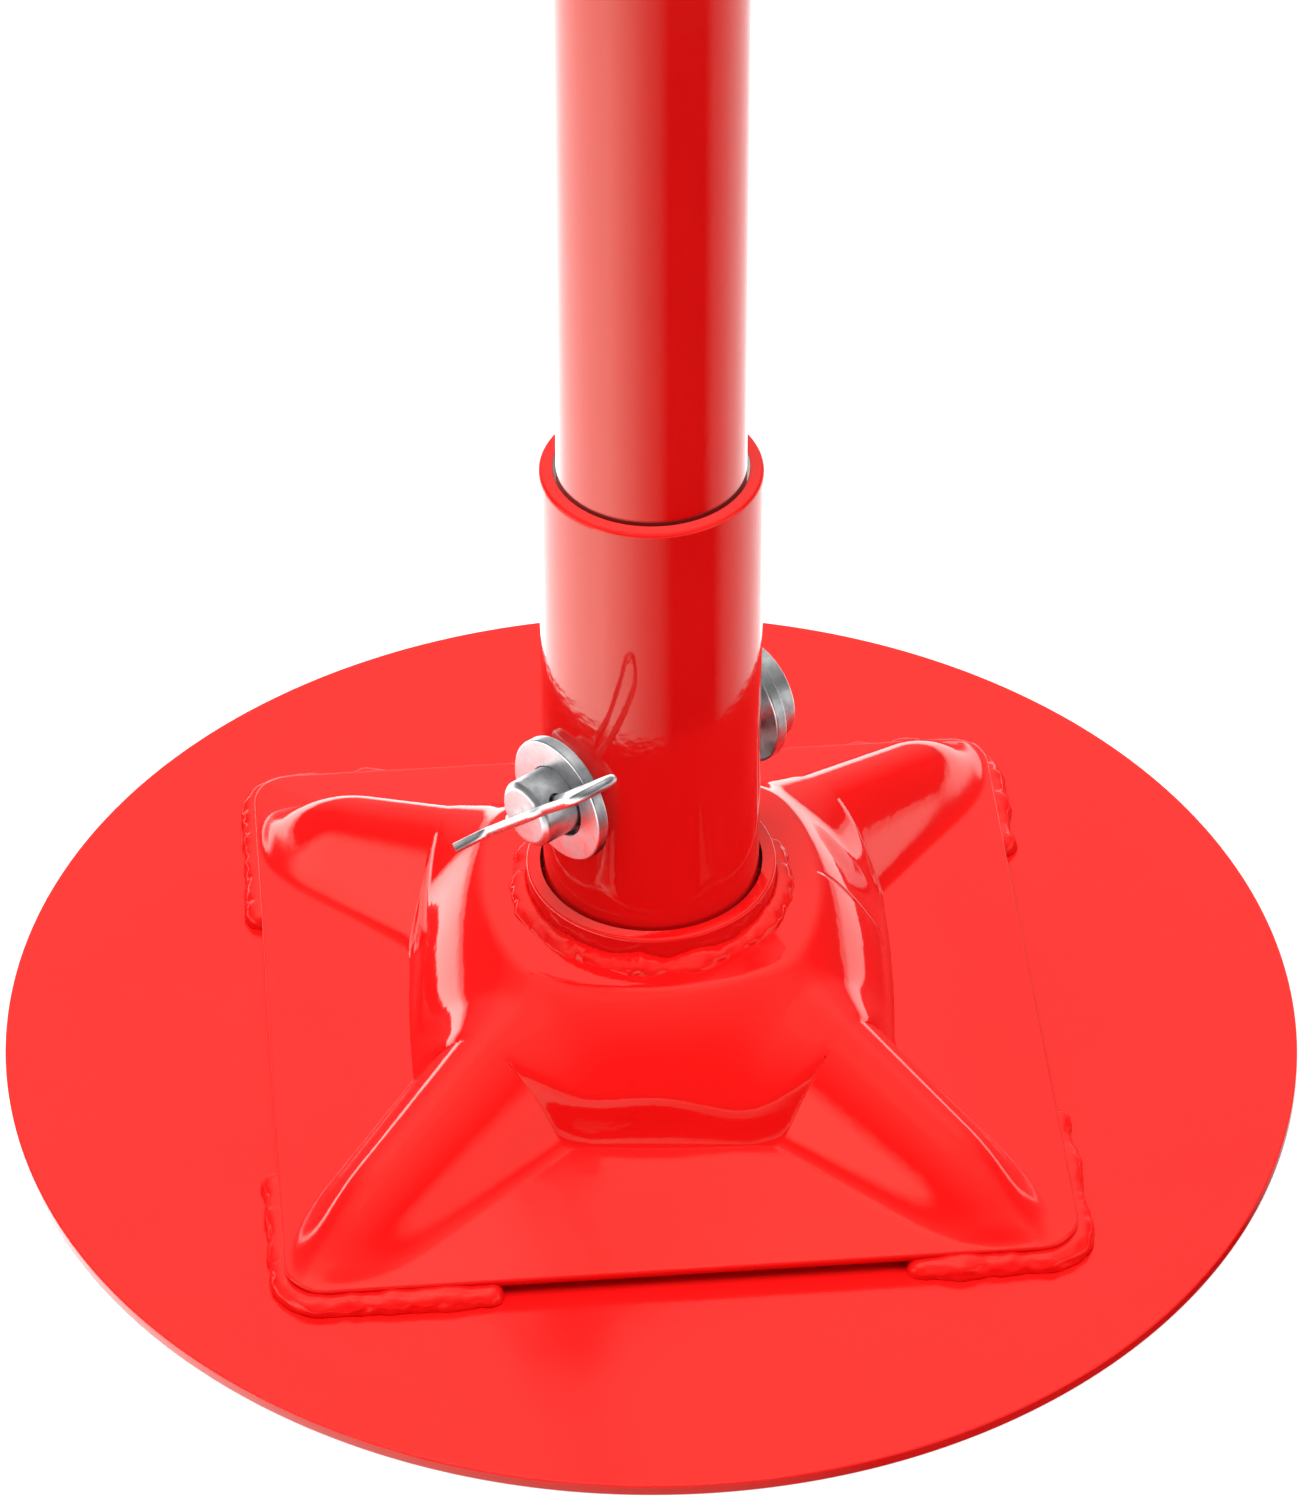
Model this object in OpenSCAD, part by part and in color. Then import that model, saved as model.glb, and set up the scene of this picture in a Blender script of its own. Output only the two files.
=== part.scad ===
// Underhoist stand: a tall screw stand on a round base, shown fully lowered.
// Units are millimetres. +Z is up, and the origin is the centre of the base plate's underside.

/* [Base plate] */
// Diameter of the round base plate
plate_d = 305; // [270:1:400]
// Thickness of the base plate
plate_t = 3; // [2:0.5:8]
// Rounding of the plate's top and bottom edge
plate_edge_r = 0.5; // [0.2:0.1:0.9]

/* [Pedestal] */
// Side of the square pressed sheet
ped_side = 180; // [170:1:196]
// Corner radius of the sheet
ped_corner_r = 9; // [6:0.5:14]
// How far the square is turned from the front
ped_turn = 5; // [0:1:45]
// Thickness of the pressed sheet
sheet_t = 2.2; // [1.5:0.1:3]
// Open slit between the plate and the sheet's edge
skirt_gap = 0.8; // [0.4:0.1:0.9]
// Rise of the dished skirt from the sheet's edge to the foot of the crown's wall
skirt_rise = 6.5; // [4:0.5:9]
// Height of the crown over the plate
crown_h = 41; // [38:0.5:48]
// Run of the crown's dome, from the collar's weld to the foot of its wall
crown_run = 20.2; // [18:0.1:23]
// Fall of the dome along that run
dome_fall = 28; // [22:0.5:30]
// Rise of the crown's steep wall for each millimetre inwards
wall_slope_share = 5.5; // [3:0.5:6]
// Width of a ridge at the foot of the crown's wall
ridge_w = 41; // [38:0.5:46]
// How much wider the ridge flares there, on each side, where the wall cuts it
ridge_flare = 7; // [3:0.5:9]
// Loss of a ridge's half width for each millimetre outwards
ridge_taper_share = 0.2; // [0.15:0.01:0.24]
// Fall of a ridge's crest for each millimetre outwards
ridge_fall_share = 0.345; // [0.3:0.005:0.38]
// Distance from a rounded corner's edge to the foot of its ridge's nose
nose_inset = 4; // [3:0.5:8]
// Length of a weld bead along the sheet's edge, from the sheet's sharp corner
corner_weld_leg = 43; // [25:1:60]

/* [Socket] */
// Play between the main tube and the socket, on each side
tube_play = 0.7; // [0.3:0.1:0.9]
// Wall of the socket tube
socket_wall = 3.2; // [2.5:0.1:4.5]
// Height of the socket's mouth over the clevis pin
socket_rise = 80.5; // [50:0.5:140]
// Play between the socket and the collar, on each side
collar_play = 0.8; // [0.3:0.1:0.9]
// Wall of the collar
collar_wall = 3.2; // [2.4:0.1:4]
// How far the collar stands over the crown
collar_rise = 9; // [6:0.5:14]

/* [Main tube] */
// Outer diameter of the main tube
tube_d = 42.2; // [40:0.2:48.4]
// Wall of the main tube
tube_wall = 3; // [2.4:0.1:3.4]
// Height of the main tube's top over the floor
tube_top = 1240; // [1150:5:1500]

/* [Clevis pin] */
// Diameter of the clevis pin
pin_d = 16; // [12:0.5:18]
// Height of the pin over the collar's rim
pin_rise = 33.5; // [30:0.5:60]
// Direction of the pin's head, turned from the right-hand side
pin_turn = 40.5; // [0:0.5:90]
// How much wider the head is than the pin
pin_head_over = 9; // [6:0.5:12]
// Thickness of the pin's head
pin_head_t = 4.5; // [3:0.5:6]
// Play of the washers round the pin, across
washer_play = 1.5; // [0.6:0.1:2]
// Width of the washers' ring
washer_rim = 6.25; // [4:0.25:8]
// Thickness of the washers
washer_t = 3; // [1.5:0.5:4]
// Distance from the clip's washer to its cross hole
cross_room = 4.7; // [4:0.1:8]
// Distance from the pin's end to the cross hole
cross_inset = 5; // [4:0.5:8]

/* [R-clip] */
// Diameter of the clip's wire
wire_d = 2.4; // [1.8:0.1:3]
// Play of the wire in the cross hole, on each side
cross_play = 0.6; // [0.3:0.1:0.9]
// Length of the straight leg past the pin
clip_leg_over = 7; // [4:0.5:12]
// Gap between the outer leg and the pin's end
clip_stand = 2.5; // [1:0.1:4]
// Diameter of the clip's round loop, at the middle of the wire
clip_loop_d = 11; // [10:0.5:14]
// Length of the clip's neck, from its waist to the middle of its loop
clip_neck = 17.3; // [12:0.1:22]
// Lean of the clip from upright, round the pin
clip_lean = 46; // [0:1:80]

/* [Lifting screw] */
// Diameter of the lifting screw
screw_d = 25; // [22:0.5:27]
// Travel of the screw
screw_travel = 620; // [300:5:700]
// Step from the screw down to the journal that carries the saddle
journal_step = 3.5; // [2:0.5:5]
// Length of the journal
journal_h = 22; // [16:1:30]
// Length of the guide bush at the screw's foot
guide_h = 24; // [15:1:40]

/* [Bearing] */
// Diameter of the bearing balls
ball_d = 6.35; // [5.5:0.05:7.5]
// Number of bearing balls
ball_count = 14; // [8:1:15]
// Room between the screw and the races' bore
race_room = 2.5; // [2:0.1:4]
// Width of a race beside the balls
race_rim = 1.1; // [0.8:0.1:2]
// Thickness of a race under the balls
race_floor = 2.3; // [1.5:0.1:4]
// Thickness of the tube cap
cap_t = 10; // [7:0.5:16]
// How far the tube cap stands out past the handle nut's flange
cap_lip = 3; // [2:0.5:6]

/* [Handle] */
// Wall of the handle nut's hub
hub_wall = 10.5; // [8:0.5:12]
// Height of the handle nut over the bearing
hub_h = 38; // [34:1:60]
// Diameter of the handle arms
arm_d = 12; // [8:0.5:14]
// Distance from the stand's axis to the end of a handle arm
arm_reach = 136; // [110:1:150]
// Upward lean of the handle arms
arm_lean = 10; // [0:1:16]
// Direction of the handle arms at rest
arm_turn = 25; // [0:1:90]
// Wall of the handle grips
grip_wall = 6; // [3:0.5:8]
// Length of the handle grips
grip_l = 88; // [60:1:92]

/* [Saddle] */
// Wall of the saddle's cup
cup_wall = 8; // [6:0.5:11]
// Thickness of the cup's floor, over the screw's journal
cup_floor_t = 8; // [5:0.5:14]
// Width of the saddle's flat floor, between its bends
saddle_w = 62; // [56:1:90]
// Depth of the saddle
saddle_l = 50; // [44:1:70]
// Thickness of the saddle's plate
saddle_t = 5; // [4:0.5:8]
// Inner radius of the saddle's bends
saddle_bend_r = 8; // [6:0.5:12]
// Lean of the saddle's prongs from upright
prong_lean = 25; // [10:1:40]
// Length of the prongs past their bends
prong_l = 26; // [15:1:45]
// Thickness of the rubber pad
pad_t = 6; // [5:0.5:10]

/* [Hidden] */

// Colours of the finishes
enamel_red = "#f03a2e";
zinc = "#c4c6c8";
bright_steel = "#9a9ca0";
cage_brass = "#b5964a";
black_rubber = "#232426";

// Roundness of the pieces, and of the large plate
$fn = 64;
plate_facets = 180;

// Clearances and small sizes that several pieces share
cut_over = 1;
fit_gap = 0.05;
run_gap = 0.1;
seat_gap = 0.3;
edge_break = 0.6;

// Legs of the round weld beads
collar_weld_leg = 4.4;
foot_weld_leg = 4;
cap_weld_leg = 4.5;
saddle_weld_leg = 3.5;

// Tubes, from the inside out
tube_r = tube_d / 2;
tube_bore_r = tube_r - tube_wall;
socket_bore_r = tube_r + tube_play;
socket_r = socket_bore_r + socket_wall;
collar_bore_r = socket_r + collar_play;
collar_r = collar_bore_r + collar_wall;

// Pedestal: half side, and the radii at which its parts begin
ped_half = ped_side / 2;
ped_core = ped_half - ped_corner_r;
ped_hole_r = collar_r + run_gap;
crown_flat_r = collar_r + collar_weld_leg + edge_break;
wall_foot = crown_flat_r + crown_run;
ridge_lead = 2.5;
ridge_start = crown_flat_r + ridge_lead;

// Pedestal: heights over the floor
sheet_edge_z = plate_t + skirt_gap + sheet_t;
wall_foot_z = sheet_edge_z + skirt_rise;
crown_z = plate_t + crown_h;
ridge_foot_rise = 4;
ridge_foot_z = sheet_edge_z + ridge_foot_rise;

// Pedestal: lengths of its bends, of the ridges' flare, and of the flat rim along its edge
rim_bend = 2.5;
foot_bend = 6.5;
ridge_bend = 12;
wall_end_bend = 7;
least_bend = 0.05;
nose_bend = 9;
flare_run = 13.8;
ridge_end_half = 5;
sheet_rim = 5;
// Slope of a ridge's nose, and the powers that shape the dome, the flare, a ridge's section and the
// nearly square foot of the crown's wall
nose_share = 1.1;
dome_power = 1.8;
flare_power = 1.5;
ridge_power = 1.8;
square_power = 4.5;
// The crown is pressed a little askew in its sheet, and each ridge a little off its diagonal
crown_askew = -4;
ridge_askew = [-0.5, 5.5, 0.5, -3];
// Mesh of the sheet: rays round the centre, crowded at the ridges, and rings from the hole to the
// edge, of which the middle ones cross the crown's wall
ped_rays = 96;
crowd_share = 0.5;
rings_to_wall = 5;
rings_past_wall = 11;
ped_rings = 24;
wall_lead = 4;
wall_lag = 2.5;

// Bead at the pedestal's corners: its width, and its height a little over the sheet's edge
corner_weld_w = 4;
corner_weld_over = 0.6;
corner_weld_h = skirt_gap + sheet_t + corner_weld_over;

// Collar and socket: heights over the floor
collar_depth = 6;
collar_top_z = crown_z + collar_rise;
pin_h = collar_top_z + pin_rise;
socket_top_z = pin_h + socket_rise;

// Places along the pin's line, outwards from the stand's axis
pin_r = pin_d / 2;
pin_chamfer = 1.2;
pin_hole_r = pin_r + run_gap;
washer_bore_r = pin_r + washer_play / 2;
washer_r = washer_bore_r + washer_rim;
washer_in = socket_r + seat_gap;
washer_out = washer_in + washer_t;
washer_drop = washer_play / 2 - fit_gap;
head_in = washer_out + seat_gap / 2;
cross_out = washer_out + cross_room;
pin_end = cross_out + cross_inset;

// R-clip in its own plane: s runs along the straight leg to the loop, a runs outwards from it
wire_r = wire_d / 2;
cross_r = wire_r + cross_play;
clip_hump_a = cross_inset + clip_stand + wire_r;
clip_waist_in = 0.9;
clip_waist_a = clip_hump_a - clip_waist_in;
clip_hump_over = 2;
clip_hump_s = pin_r + clip_hump_over;
clip_slope = 6;
clip_waist_s = clip_hump_s + clip_slope;
loop_r = clip_loop_d / 2;
loop_s = clip_waist_s + clip_neck;
clip_flare_out = 6.8;
clip_flare_l = 6.5;
clip_sides = 10;

// Stack on top of the main tube
ball_r = ball_d / 2;
screw_r = screw_d / 2;
screw_pass_r = screw_r + edge_break;
race_bore_r = screw_r + race_room;
ball_ring_r = race_bore_r + race_rim + ball_r;
race_r = ball_ring_r + ball_r + race_rim;
race_grip_share = 0.34;
race_t = race_floor + race_grip_share * ball_r;
bearing_h = 2 * (race_floor + ball_r + fit_gap);
race_recess = 1;
cap_spigot_h = 14;
cap_top_z = tube_top + cap_t;
race_low_z = cap_top_z - race_recess;
race_high_z = race_low_z + bearing_h;
ball_z = race_low_z + bearing_h / 2;
cage_t = 1.6;
cage_margin = 0.4;

// Handle nut with its flange and cover, arms and grips
flange_lip = 4.5;
flange_r = race_r + flange_lip;
flange_t = 6;
pilot_h = 2.6;
hub_r = screw_r + hub_wall;
hub_top_z = race_high_z + hub_h;
cap_r = flange_r + cap_lip;
cover_t = 1.4;
cover_lip = 2;
cover_clear = 1;
arm_r = arm_d / 2;
arm_height_share = 0.6;
arm_z = race_high_z + arm_height_share * hub_h;
arm_seat = 6;
grip_r = arm_r + grip_wall;
grip_tip = 5;
grip_bead_share = 0.25;

// Lifting screw at rest: the saddle's cup just clears the nut
screw_top_z = hub_top_z + edge_break;
guide_stop_gap = 1;
guide_top_z = tube_top - cap_spigot_h - guide_stop_gap - screw_travel;
guide_low_z = guide_top_z - guide_h;
guide_gap = 0.25;
guide_spigot_share = 0.6;
guide_spigot_r = guide_spigot_share * screw_r;
guide_bolt_r = 4;
guide_bolt_l = 20;
guide_head_r = 7.5;
guide_head_h = 5.3;
guide_washer_t = 2;
guide_washer_inset = 3;
journal_r = screw_r - journal_step;
groove_depth = 1.5;
set_screw_r = 3;
groove_z = screw_top_z + journal_h / 2;
groove_half = set_screw_r + run_gap;

// Saddle
cup_bore_r = journal_r + run_gap;
cup_r = cup_bore_r + cup_wall;
cup_z = screw_top_z + run_gap;
pocket_z = cup_z + journal_h + run_gap;
cradle_z = pocket_z + cup_floor_t;
pad_z = cradle_z + saddle_t;
pad_inset = 1;
pad_half_w = saddle_w / 2 - pad_inset;
pad_half_l = saddle_l / 2 - pad_inset;
pad_round = 2;
pad_groove_w = 2.5;
pad_groove_depth = 1.5;
pad_screw_r = 2.5;
pad_head_r = 4.8;
pad_head_h = 2.6;
pad_screw_share = 0.8;
pad_screw_x = pad_screw_share * pad_half_w;
pad_seat_share = 0.3;
pad_seat_z = pad_z + pad_seat_share * pad_t;

// Points of an arc of radius r round [x, y], from the angle a to the angle b
function arc(x, y, r, a, b, steps = 3) =
    [for (k = [0:steps]) let (t = a + (b - a) * k / steps) [x + r * cos(t), y + r * sin(t)]];

// Quarter-round bead in the corner between a wall at x = r and a floor at y = 0
function bead(w, h, r = 0) =
    concat([[r, 0]], [for (t = [0:15:90]) [r + w * cos(t), h * sin(t)]]);

// Bead round a tube of radius r: it stands on a floor at z with up = 1, or hangs with up = -1
module ring_bead(r, z, w, up = 1) {
    translate([0, 0, z]) rotate_extrude() polygon(bead(w, up * w, r));
}

// Pipe from z0 to z1 with its outer edges rounded
module pipe(r_out, r_in, z0, z1, e = edge_break) {
    rotate_extrude() polygon(concat([[r_in, z0]], arc(r_out - e, z0 + e, e, -90, 0),
        arc(r_out - e, z1 - e, e, 0, 90), [[r_in, z1]]));
}

// Round bar from z0 to z1 with its edges broken
module bar(r, z0, z1, e = edge_break) {
    rotate_extrude() polygon([[0, z0], [r - e, z0], [r, z0 + e], [r, z1 - e], [r - e, z1], [0, z1]]);
}

// Puts what is built along +Z on the pin's line, with +Z towards the head
module along_pin() {
    translate([0, 0, pin_h]) rotate([0, 0, pin_turn]) rotate([0, 90, 0]) children();
}

// Puts what is built in the clip's plane in place: +Z along the legs to the loop, -X outwards
module at_cross_hole() {
    translate([0, 0, pin_h]) rotate([0, 0, pin_turn]) rotate([clip_lean, 0, 0])
        translate([-cross_out, 0, 0]) children();
}

// Puts what is built along +Z on the line of the handle arm that points in the direction turn
module along_arm(turn) {
    translate([0, 0, arm_z]) rotate([0, 0, turn]) rotate([0, 90 - arm_lean, 0]) children();
}

// Distance from the centre to the sheet's edge, in the direction a
function edge_reach(a) =
    let (b = abs((a % 90 + 135) % 90 - 45), along = ped_core * (cos(b) + sin(b)))
    ped_half * tan(b) <= ped_core ? ped_half / cos(b)
        : along + sqrt(along * along - 2 * ped_core * ped_core + ped_corner_r * ped_corner_r);

// Rounded maximum and minimum of two heights, blended where they are less than k apart
function soft_max(a, b, k) = max(a, b) + pow(max(k - abs(a - b), 0), 2) / (4 * k);
function soft_min(a, b, k) = -soft_max(-a, -b, k);

// How far the nearly square foot of the wall pulls in a radius, in the direction a
function square_share(a) =
    pow(pow(abs(cos(a)), square_power) + pow(abs(sin(a)), square_power), 1 / square_power);

// Height of the skirt, m out from the centre
function skirt_z(m) = sheet_edge_z + skirt_rise * (ped_half - m) / (ped_half - wall_foot);

// Fall of a ridge's flank, v beside the crest, where it falls by depth in a width of half
function flank_fall(v, half, depth) = depth * pow(abs(v) / half, ridge_power);

// Height of the sheet's upper face over the floor. Inside the crown's wall the dome and the flared
// ridges blend, and the wall cuts them. Outside it the ridges run on alone to their noses.
function sheet_z(x, y) =
    let (r = norm([x, y]), a = (atan2(y, x) + 360) % 360, k = min(floor(a / 90), 3),
         turn = 45 + 90 * k + ridge_askew[k], u = r * cos(a - turn), v = r * sin(a - turn),
         out = max(r - crown_flat_r, 0) / crown_run,
         dome = crown_z - dome_fall * pow(out, dome_power),
         wall = wall_foot_z + wall_slope_share * (wall_foot - r * square_share(a - crown_askew)),
         crest = crown_z - ridge_fall_share * (u - ridge_start),
         nose = sheet_edge_z + nose_share * (edge_reach(turn) - nose_inset - u),
         top = soft_min(crest, nose, nose_bend), depth = max(crest - ridge_foot_z, ridge_foot_rise),
         half = max(ridge_w / 2 - ridge_taper_share * (u - wall_foot), ridge_end_half),
         inwards = max(wall_foot + flare_run - u, 0) / flare_run,
         flare = half + ridge_flare * pow(inwards, flare_power),
         plain = top - flank_fall(v, half, depth), flared = top - flank_fall(v, flare, depth),
         cut = soft_min(soft_max(dome, flared, ridge_bend), wall, rim_bend),
         raised = soft_max(cut, plain, min(max(flared - plain, least_bend), wall_end_bend)),
         edge = ped_half - max(abs(x), abs(y)), skirt = skirt_z(ped_half - edge),
         t = min(max(edge / sheet_rim, 0), 1))
    min(skirt + (soft_max(skirt, raised, foot_bend) - skirt) * t * t * (3 - 2 * t), crown_z);

// Upward normal of the sheet's upper face
function sheet_up(x, y) =
    let (d = sheet_t / 4, n = [sheet_z(x - d, y) - sheet_z(x + d, y),
         sheet_z(x, y - d) - sheet_z(x, y + d), 2 * d])
    n / norm(n);

// Direction of ray j: even steps, drawn towards the four ridges
function ray_turn(j) =
    let (a = 360 * j / ped_rays, c = floor(a / 90) * 90 + 45, t = (a - c) / 45)
    c + 45 * t * (1 - crowd_share + crowd_share * abs(t));

// Radius of ring i in the direction a: the rings close up where they cross the crown's wall
function ring_r(i, a) =
    let (foot = wall_foot / square_share(a - crown_askew), low = foot - wall_lead, high = foot + wall_lag,
         past = ped_rings - rings_past_wall)
    i <= rings_to_wall ? ped_hole_r + (low - ped_hole_r) * i / rings_to_wall
        : i <= past ? low + (high - low) * (i - rings_to_wall) / (past - rings_to_wall)
        : high + (edge_reach(a) - high) * (i - past) / rings_past_wall;

// Points of the sheet's upper and lower face, on ring i and ray j
function sheet_top(i, j) =
    let (a = ray_turn(j), r = ring_r(i, a), x = r * cos(a), y = r * sin(a))
    [x, y, sheet_z(x, y)];
function sheet_under(i, j) =
    let (p = sheet_top(i, j))
    i == 0 || i == ped_rings ? p - [0, 0, sheet_t] : p - sheet_t * sheet_up(p[0], p[1]);

module base_plate() {
    r = plate_d / 2 - plate_edge_r;
    color(enamel_red) rotate_extrude($fn = plate_facets) polygon(concat([[0, 0]],
        arc(r, plate_edge_r, plate_edge_r, -90, 0), arc(r, plate_t - plate_edge_r, plate_edge_r, 0, 90),
        [[0, plate_t]]));
}

// Pressed sheet: a crown on a steep wall, four ridges that run down to the corners, and a dished skirt
module pedestal() {
    count = (ped_rings + 1) * ped_rays;
    tops = [for (i = [0:ped_rings], j = [0:ped_rays - 1]) sheet_top(i, j)];
    unders = [for (i = [0:ped_rings], j = [0:ped_rays - 1]) sheet_under(i, j)];
    function at(i, j) = i * ped_rays + j % ped_rays;
    upper = [for (i = [0:ped_rings - 1], j = [0:ped_rays - 1])
        each [[at(i, j), at(i, j + 1), at(i + 1, j + 1)], [at(i, j), at(i + 1, j + 1), at(i + 1, j)]]];
    lower = [for (f = upper) [count + f[2], count + f[1], count + f[0]]];
    hole = [for (j = [0:ped_rays - 1]) each [[at(0, j + 1), at(0, j), count + at(0, j)],
        [at(0, j + 1), count + at(0, j), count + at(0, j + 1)]]];
    edge = [for (j = [0:ped_rays - 1])
        each [[at(ped_rings, j), at(ped_rings, j + 1), count + at(ped_rings, j)],
        [at(ped_rings, j + 1), count + at(ped_rings, j + 1), count + at(ped_rings, j)]]];
    color(enamel_red) rotate([0, 0, ped_turn])
        polyhedron(points = concat(tops, unders), faces = concat(upper, lower, hole, edge));
}

// L-shaped bead round the sheet's corner towards +X and +Y
module corner_weld() {
    straight = corner_weld_leg - ped_corner_r;
    translate([ped_core, ped_core, plate_t]) {
        rotate_extrude(angle = 90) polygon(bead(corner_weld_w, corner_weld_h, ped_corner_r));
        translate([ped_corner_r, 0, 0]) rotate([90, 0, 0]) linear_extrude(straight)
            polygon(bead(corner_weld_w, corner_weld_h));
        translate([-straight, ped_corner_r, 0]) rotate([90, 0, 90]) linear_extrude(straight)
            polygon(bead(corner_weld_w, corner_weld_h));
    }
}

module corner_welds() {
    color(enamel_red) for (k = [0:3]) rotate([0, 0, ped_turn + 90 * k]) corner_weld();
}

module collar() {
    color(enamel_red) pipe(collar_r, collar_bore_r, crown_z - collar_depth, collar_top_z);
}

module collar_weld() {
    color(enamel_red) ring_bead(collar_r, crown_z, collar_weld_leg);
}

module socket_tube() {
    color(enamel_red) difference() {
        pipe(socket_r, socket_bore_r, plate_t, socket_top_z);
        along_pin() cylinder(r = pin_hole_r, h = 2 * (socket_r + cut_over), center = true);
    }
}

module socket_foot_weld() {
    color(enamel_red) ring_bead(socket_r, plate_t, foot_weld_leg);
}

module main_tube() {
    color(enamel_red) difference() {
        pipe(tube_r, tube_bore_r, plate_t, tube_top);
        along_pin() cylinder(r = pin_hole_r, h = 2 * (tube_r + cut_over), center = true);
    }
}

module clevis_pin() {
    hr = pin_r + pin_head_over / 2;
    head_out = head_in + pin_head_t;
    color(zinc) difference() {
        along_pin() rotate_extrude() polygon([[0, -pin_end], [pin_r - pin_chamfer, -pin_end],
            [pin_r, pin_chamfer - pin_end], [pin_r, head_in], [hr - edge_break, head_in],
            [hr, head_in + edge_break], [hr, head_out - pin_chamfer], [hr - pin_chamfer, head_out],
            [0, head_out]]);
        at_cross_hole() cylinder(r = cross_r, h = 2 * (pin_r + cut_over), center = true, $fn = 32);
    }
}

// Washer that starts at a place on the pin's line, hanging on the pin
module washer(start) {
    color(zinc) translate([0, 0, -washer_drop]) along_pin()
        pipe(washer_r, washer_bore_r, start, start + washer_t, edge_break / 2);
}

module head_washer() { washer(washer_in); }

module clip_washer() { washer(-washer_out); }

// Middle line of the clip's wire as [a, s] points: straight leg, loop, neck, hump and flared end
neck_v = [loop_r - clip_waist_a, loop_s - clip_waist_s];
loop_leave = atan2(neck_v[1], neck_v[0]) - asin(loop_r / norm(neck_v)) - 90;
clip_path = concat([[0, -pin_r - clip_leg_over], [0, 0], [0, clip_waist_s]],
    arc(loop_r, loop_s, loop_r, 180, loop_leave, steps = 14),
    [for (k = [0:5]) let (t = k / 5) [clip_waist_a + clip_waist_in * (1 - cos(180 * t)) / 2,
        clip_waist_s - clip_slope * t]],
    [for (k = [0:6]) let (t = k / 6) [clip_hump_a + clip_flare_out * t * t,
        -clip_hump_s - clip_flare_l * t]]);

// Round wire of radius r that follows a path of [a, s] points
module wire(path, r, sides) {
    n = len(path);
    function ahead(i) = let (d = path[min(i + 1, n - 1)] - path[max(i - 1, 0)]) d / norm(d);
    function ring(i) = let (d = ahead(i)) [for (k = [0:sides - 1]) let (t = 360 * k / sides,
        p = path[i] + r * cos(t) * [d[1], -d[0]]) [-p[0], r * sin(t), p[1]]];
    points = [for (i = [0:n - 1]) each ring(i)];
    skin = [for (i = [0:n - 2], k = [0:sides - 1])
        let (a = i * sides + k, b = i * sides + (k + 1) % sides)
        each [[a, a + sides, b + sides], [a, b + sides, b]]];
    near_end = [[for (k = [0:sides - 1]) k]];
    far_end = [[for (k = [1:sides]) n * sides - k]];
    polyhedron(points = points, faces = concat(skin, near_end, far_end));
}

module r_clip() {
    color(zinc) at_cross_hole() wire(clip_path, wire_r, clip_sides);
}

module tube_cap() {
    spigot_r = tube_bore_r - run_gap;
    low = tube_top - cap_spigot_h;
    color(enamel_red) rotate_extrude() polygon([[screw_pass_r, low], [spigot_r - edge_break, low],
        [spigot_r, low + edge_break], [spigot_r, tube_top], [cap_r - edge_break, tube_top],
        [cap_r, tube_top + edge_break], [cap_r, cap_top_z - edge_break], [cap_r - edge_break, cap_top_z],
        [race_r + run_gap, cap_top_z], [race_r + run_gap, race_low_z], [screw_pass_r, race_low_z]]);
}

module tube_cap_weld() {
    color(enamel_red) ring_bead(tube_r, tube_top, cap_weld_leg, up = -1);
}

// Race that starts at height z, with the groove that the balls run in
module race(z) {
    color(bright_steel) rotate_extrude() difference() {
        translate([race_bore_r, z]) square([race_r - race_bore_r, race_t]);
        translate([ball_ring_r, ball_z]) circle(r = ball_r + fit_gap);
    }
}

module lower_race() { race(race_low_z); }

module upper_race() { race(race_high_z - race_t); }

module bearing_balls() {
    color(bright_steel) for (k = [0:ball_count - 1]) rotate([0, 0, 360 * k / ball_count])
        translate([ball_ring_r, 0, ball_z]) sphere(r = ball_r, $fn = 32);
}

module ball_cage() {
    color(cage_brass) difference() {
        translate([0, 0, ball_z - cage_t / 2]) difference() {
            cylinder(r = race_r - cage_margin, h = cage_t);
            translate([0, 0, -cut_over]) cylinder(r = race_bore_r + cage_margin, h = cage_t + 2 * cut_over);
        }
        for (k = [0:ball_count - 1]) rotate([0, 0, 360 * k / ball_count])
            translate([ball_ring_r, 0, ball_z]) cylinder(r = ball_r + run_gap, h = 2 * cage_t, center = true);
    }
}

// Dust skirt, pressed over the nut's flange
module bearing_cover() {
    r = flange_r + fit_gap;
    out_r = r + cover_t;
    low = cap_top_z + cover_clear;
    flange_z = race_high_z + flange_t;
    top = flange_z + cover_t;
    color(enamel_red) rotate_extrude() polygon([[r, low], [out_r, low], [out_r, top - edge_break],
        [out_r - edge_break, top], [flange_r - cover_lip, top], [flange_r - cover_lip, flange_z],
        [r, flange_z]]);
}

module handle_nut() {
    bore = screw_r + run_gap;
    pilot_r = race_bore_r - run_gap;
    flange_z = race_high_z + flange_t;
    top_break = 2 * edge_break;
    color(zinc) difference() {
        rotate_extrude() polygon([[bore, race_high_z - pilot_h], [pilot_r, race_high_z - pilot_h],
            [pilot_r, race_high_z], [flange_r, race_high_z], [flange_r, flange_z], [hub_r, flange_z],
            [hub_r, hub_top_z - top_break], [hub_r - top_break, hub_top_z], [bore, hub_top_z]]);
        for (turn = [arm_turn, arm_turn + 180]) along_arm(turn) translate([0, 0, hub_r - arm_seat])
            cylinder(r = arm_r + fit_gap, h = 2 * arm_seat);
    }
}

module handle_arm(turn) {
    color(zinc) along_arm(turn) bar(arm_r, hub_r - arm_seat, arm_reach);
}

module handle_arm_right() { handle_arm(arm_turn); }

module handle_arm_left() { handle_arm(arm_turn + 180); }

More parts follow.
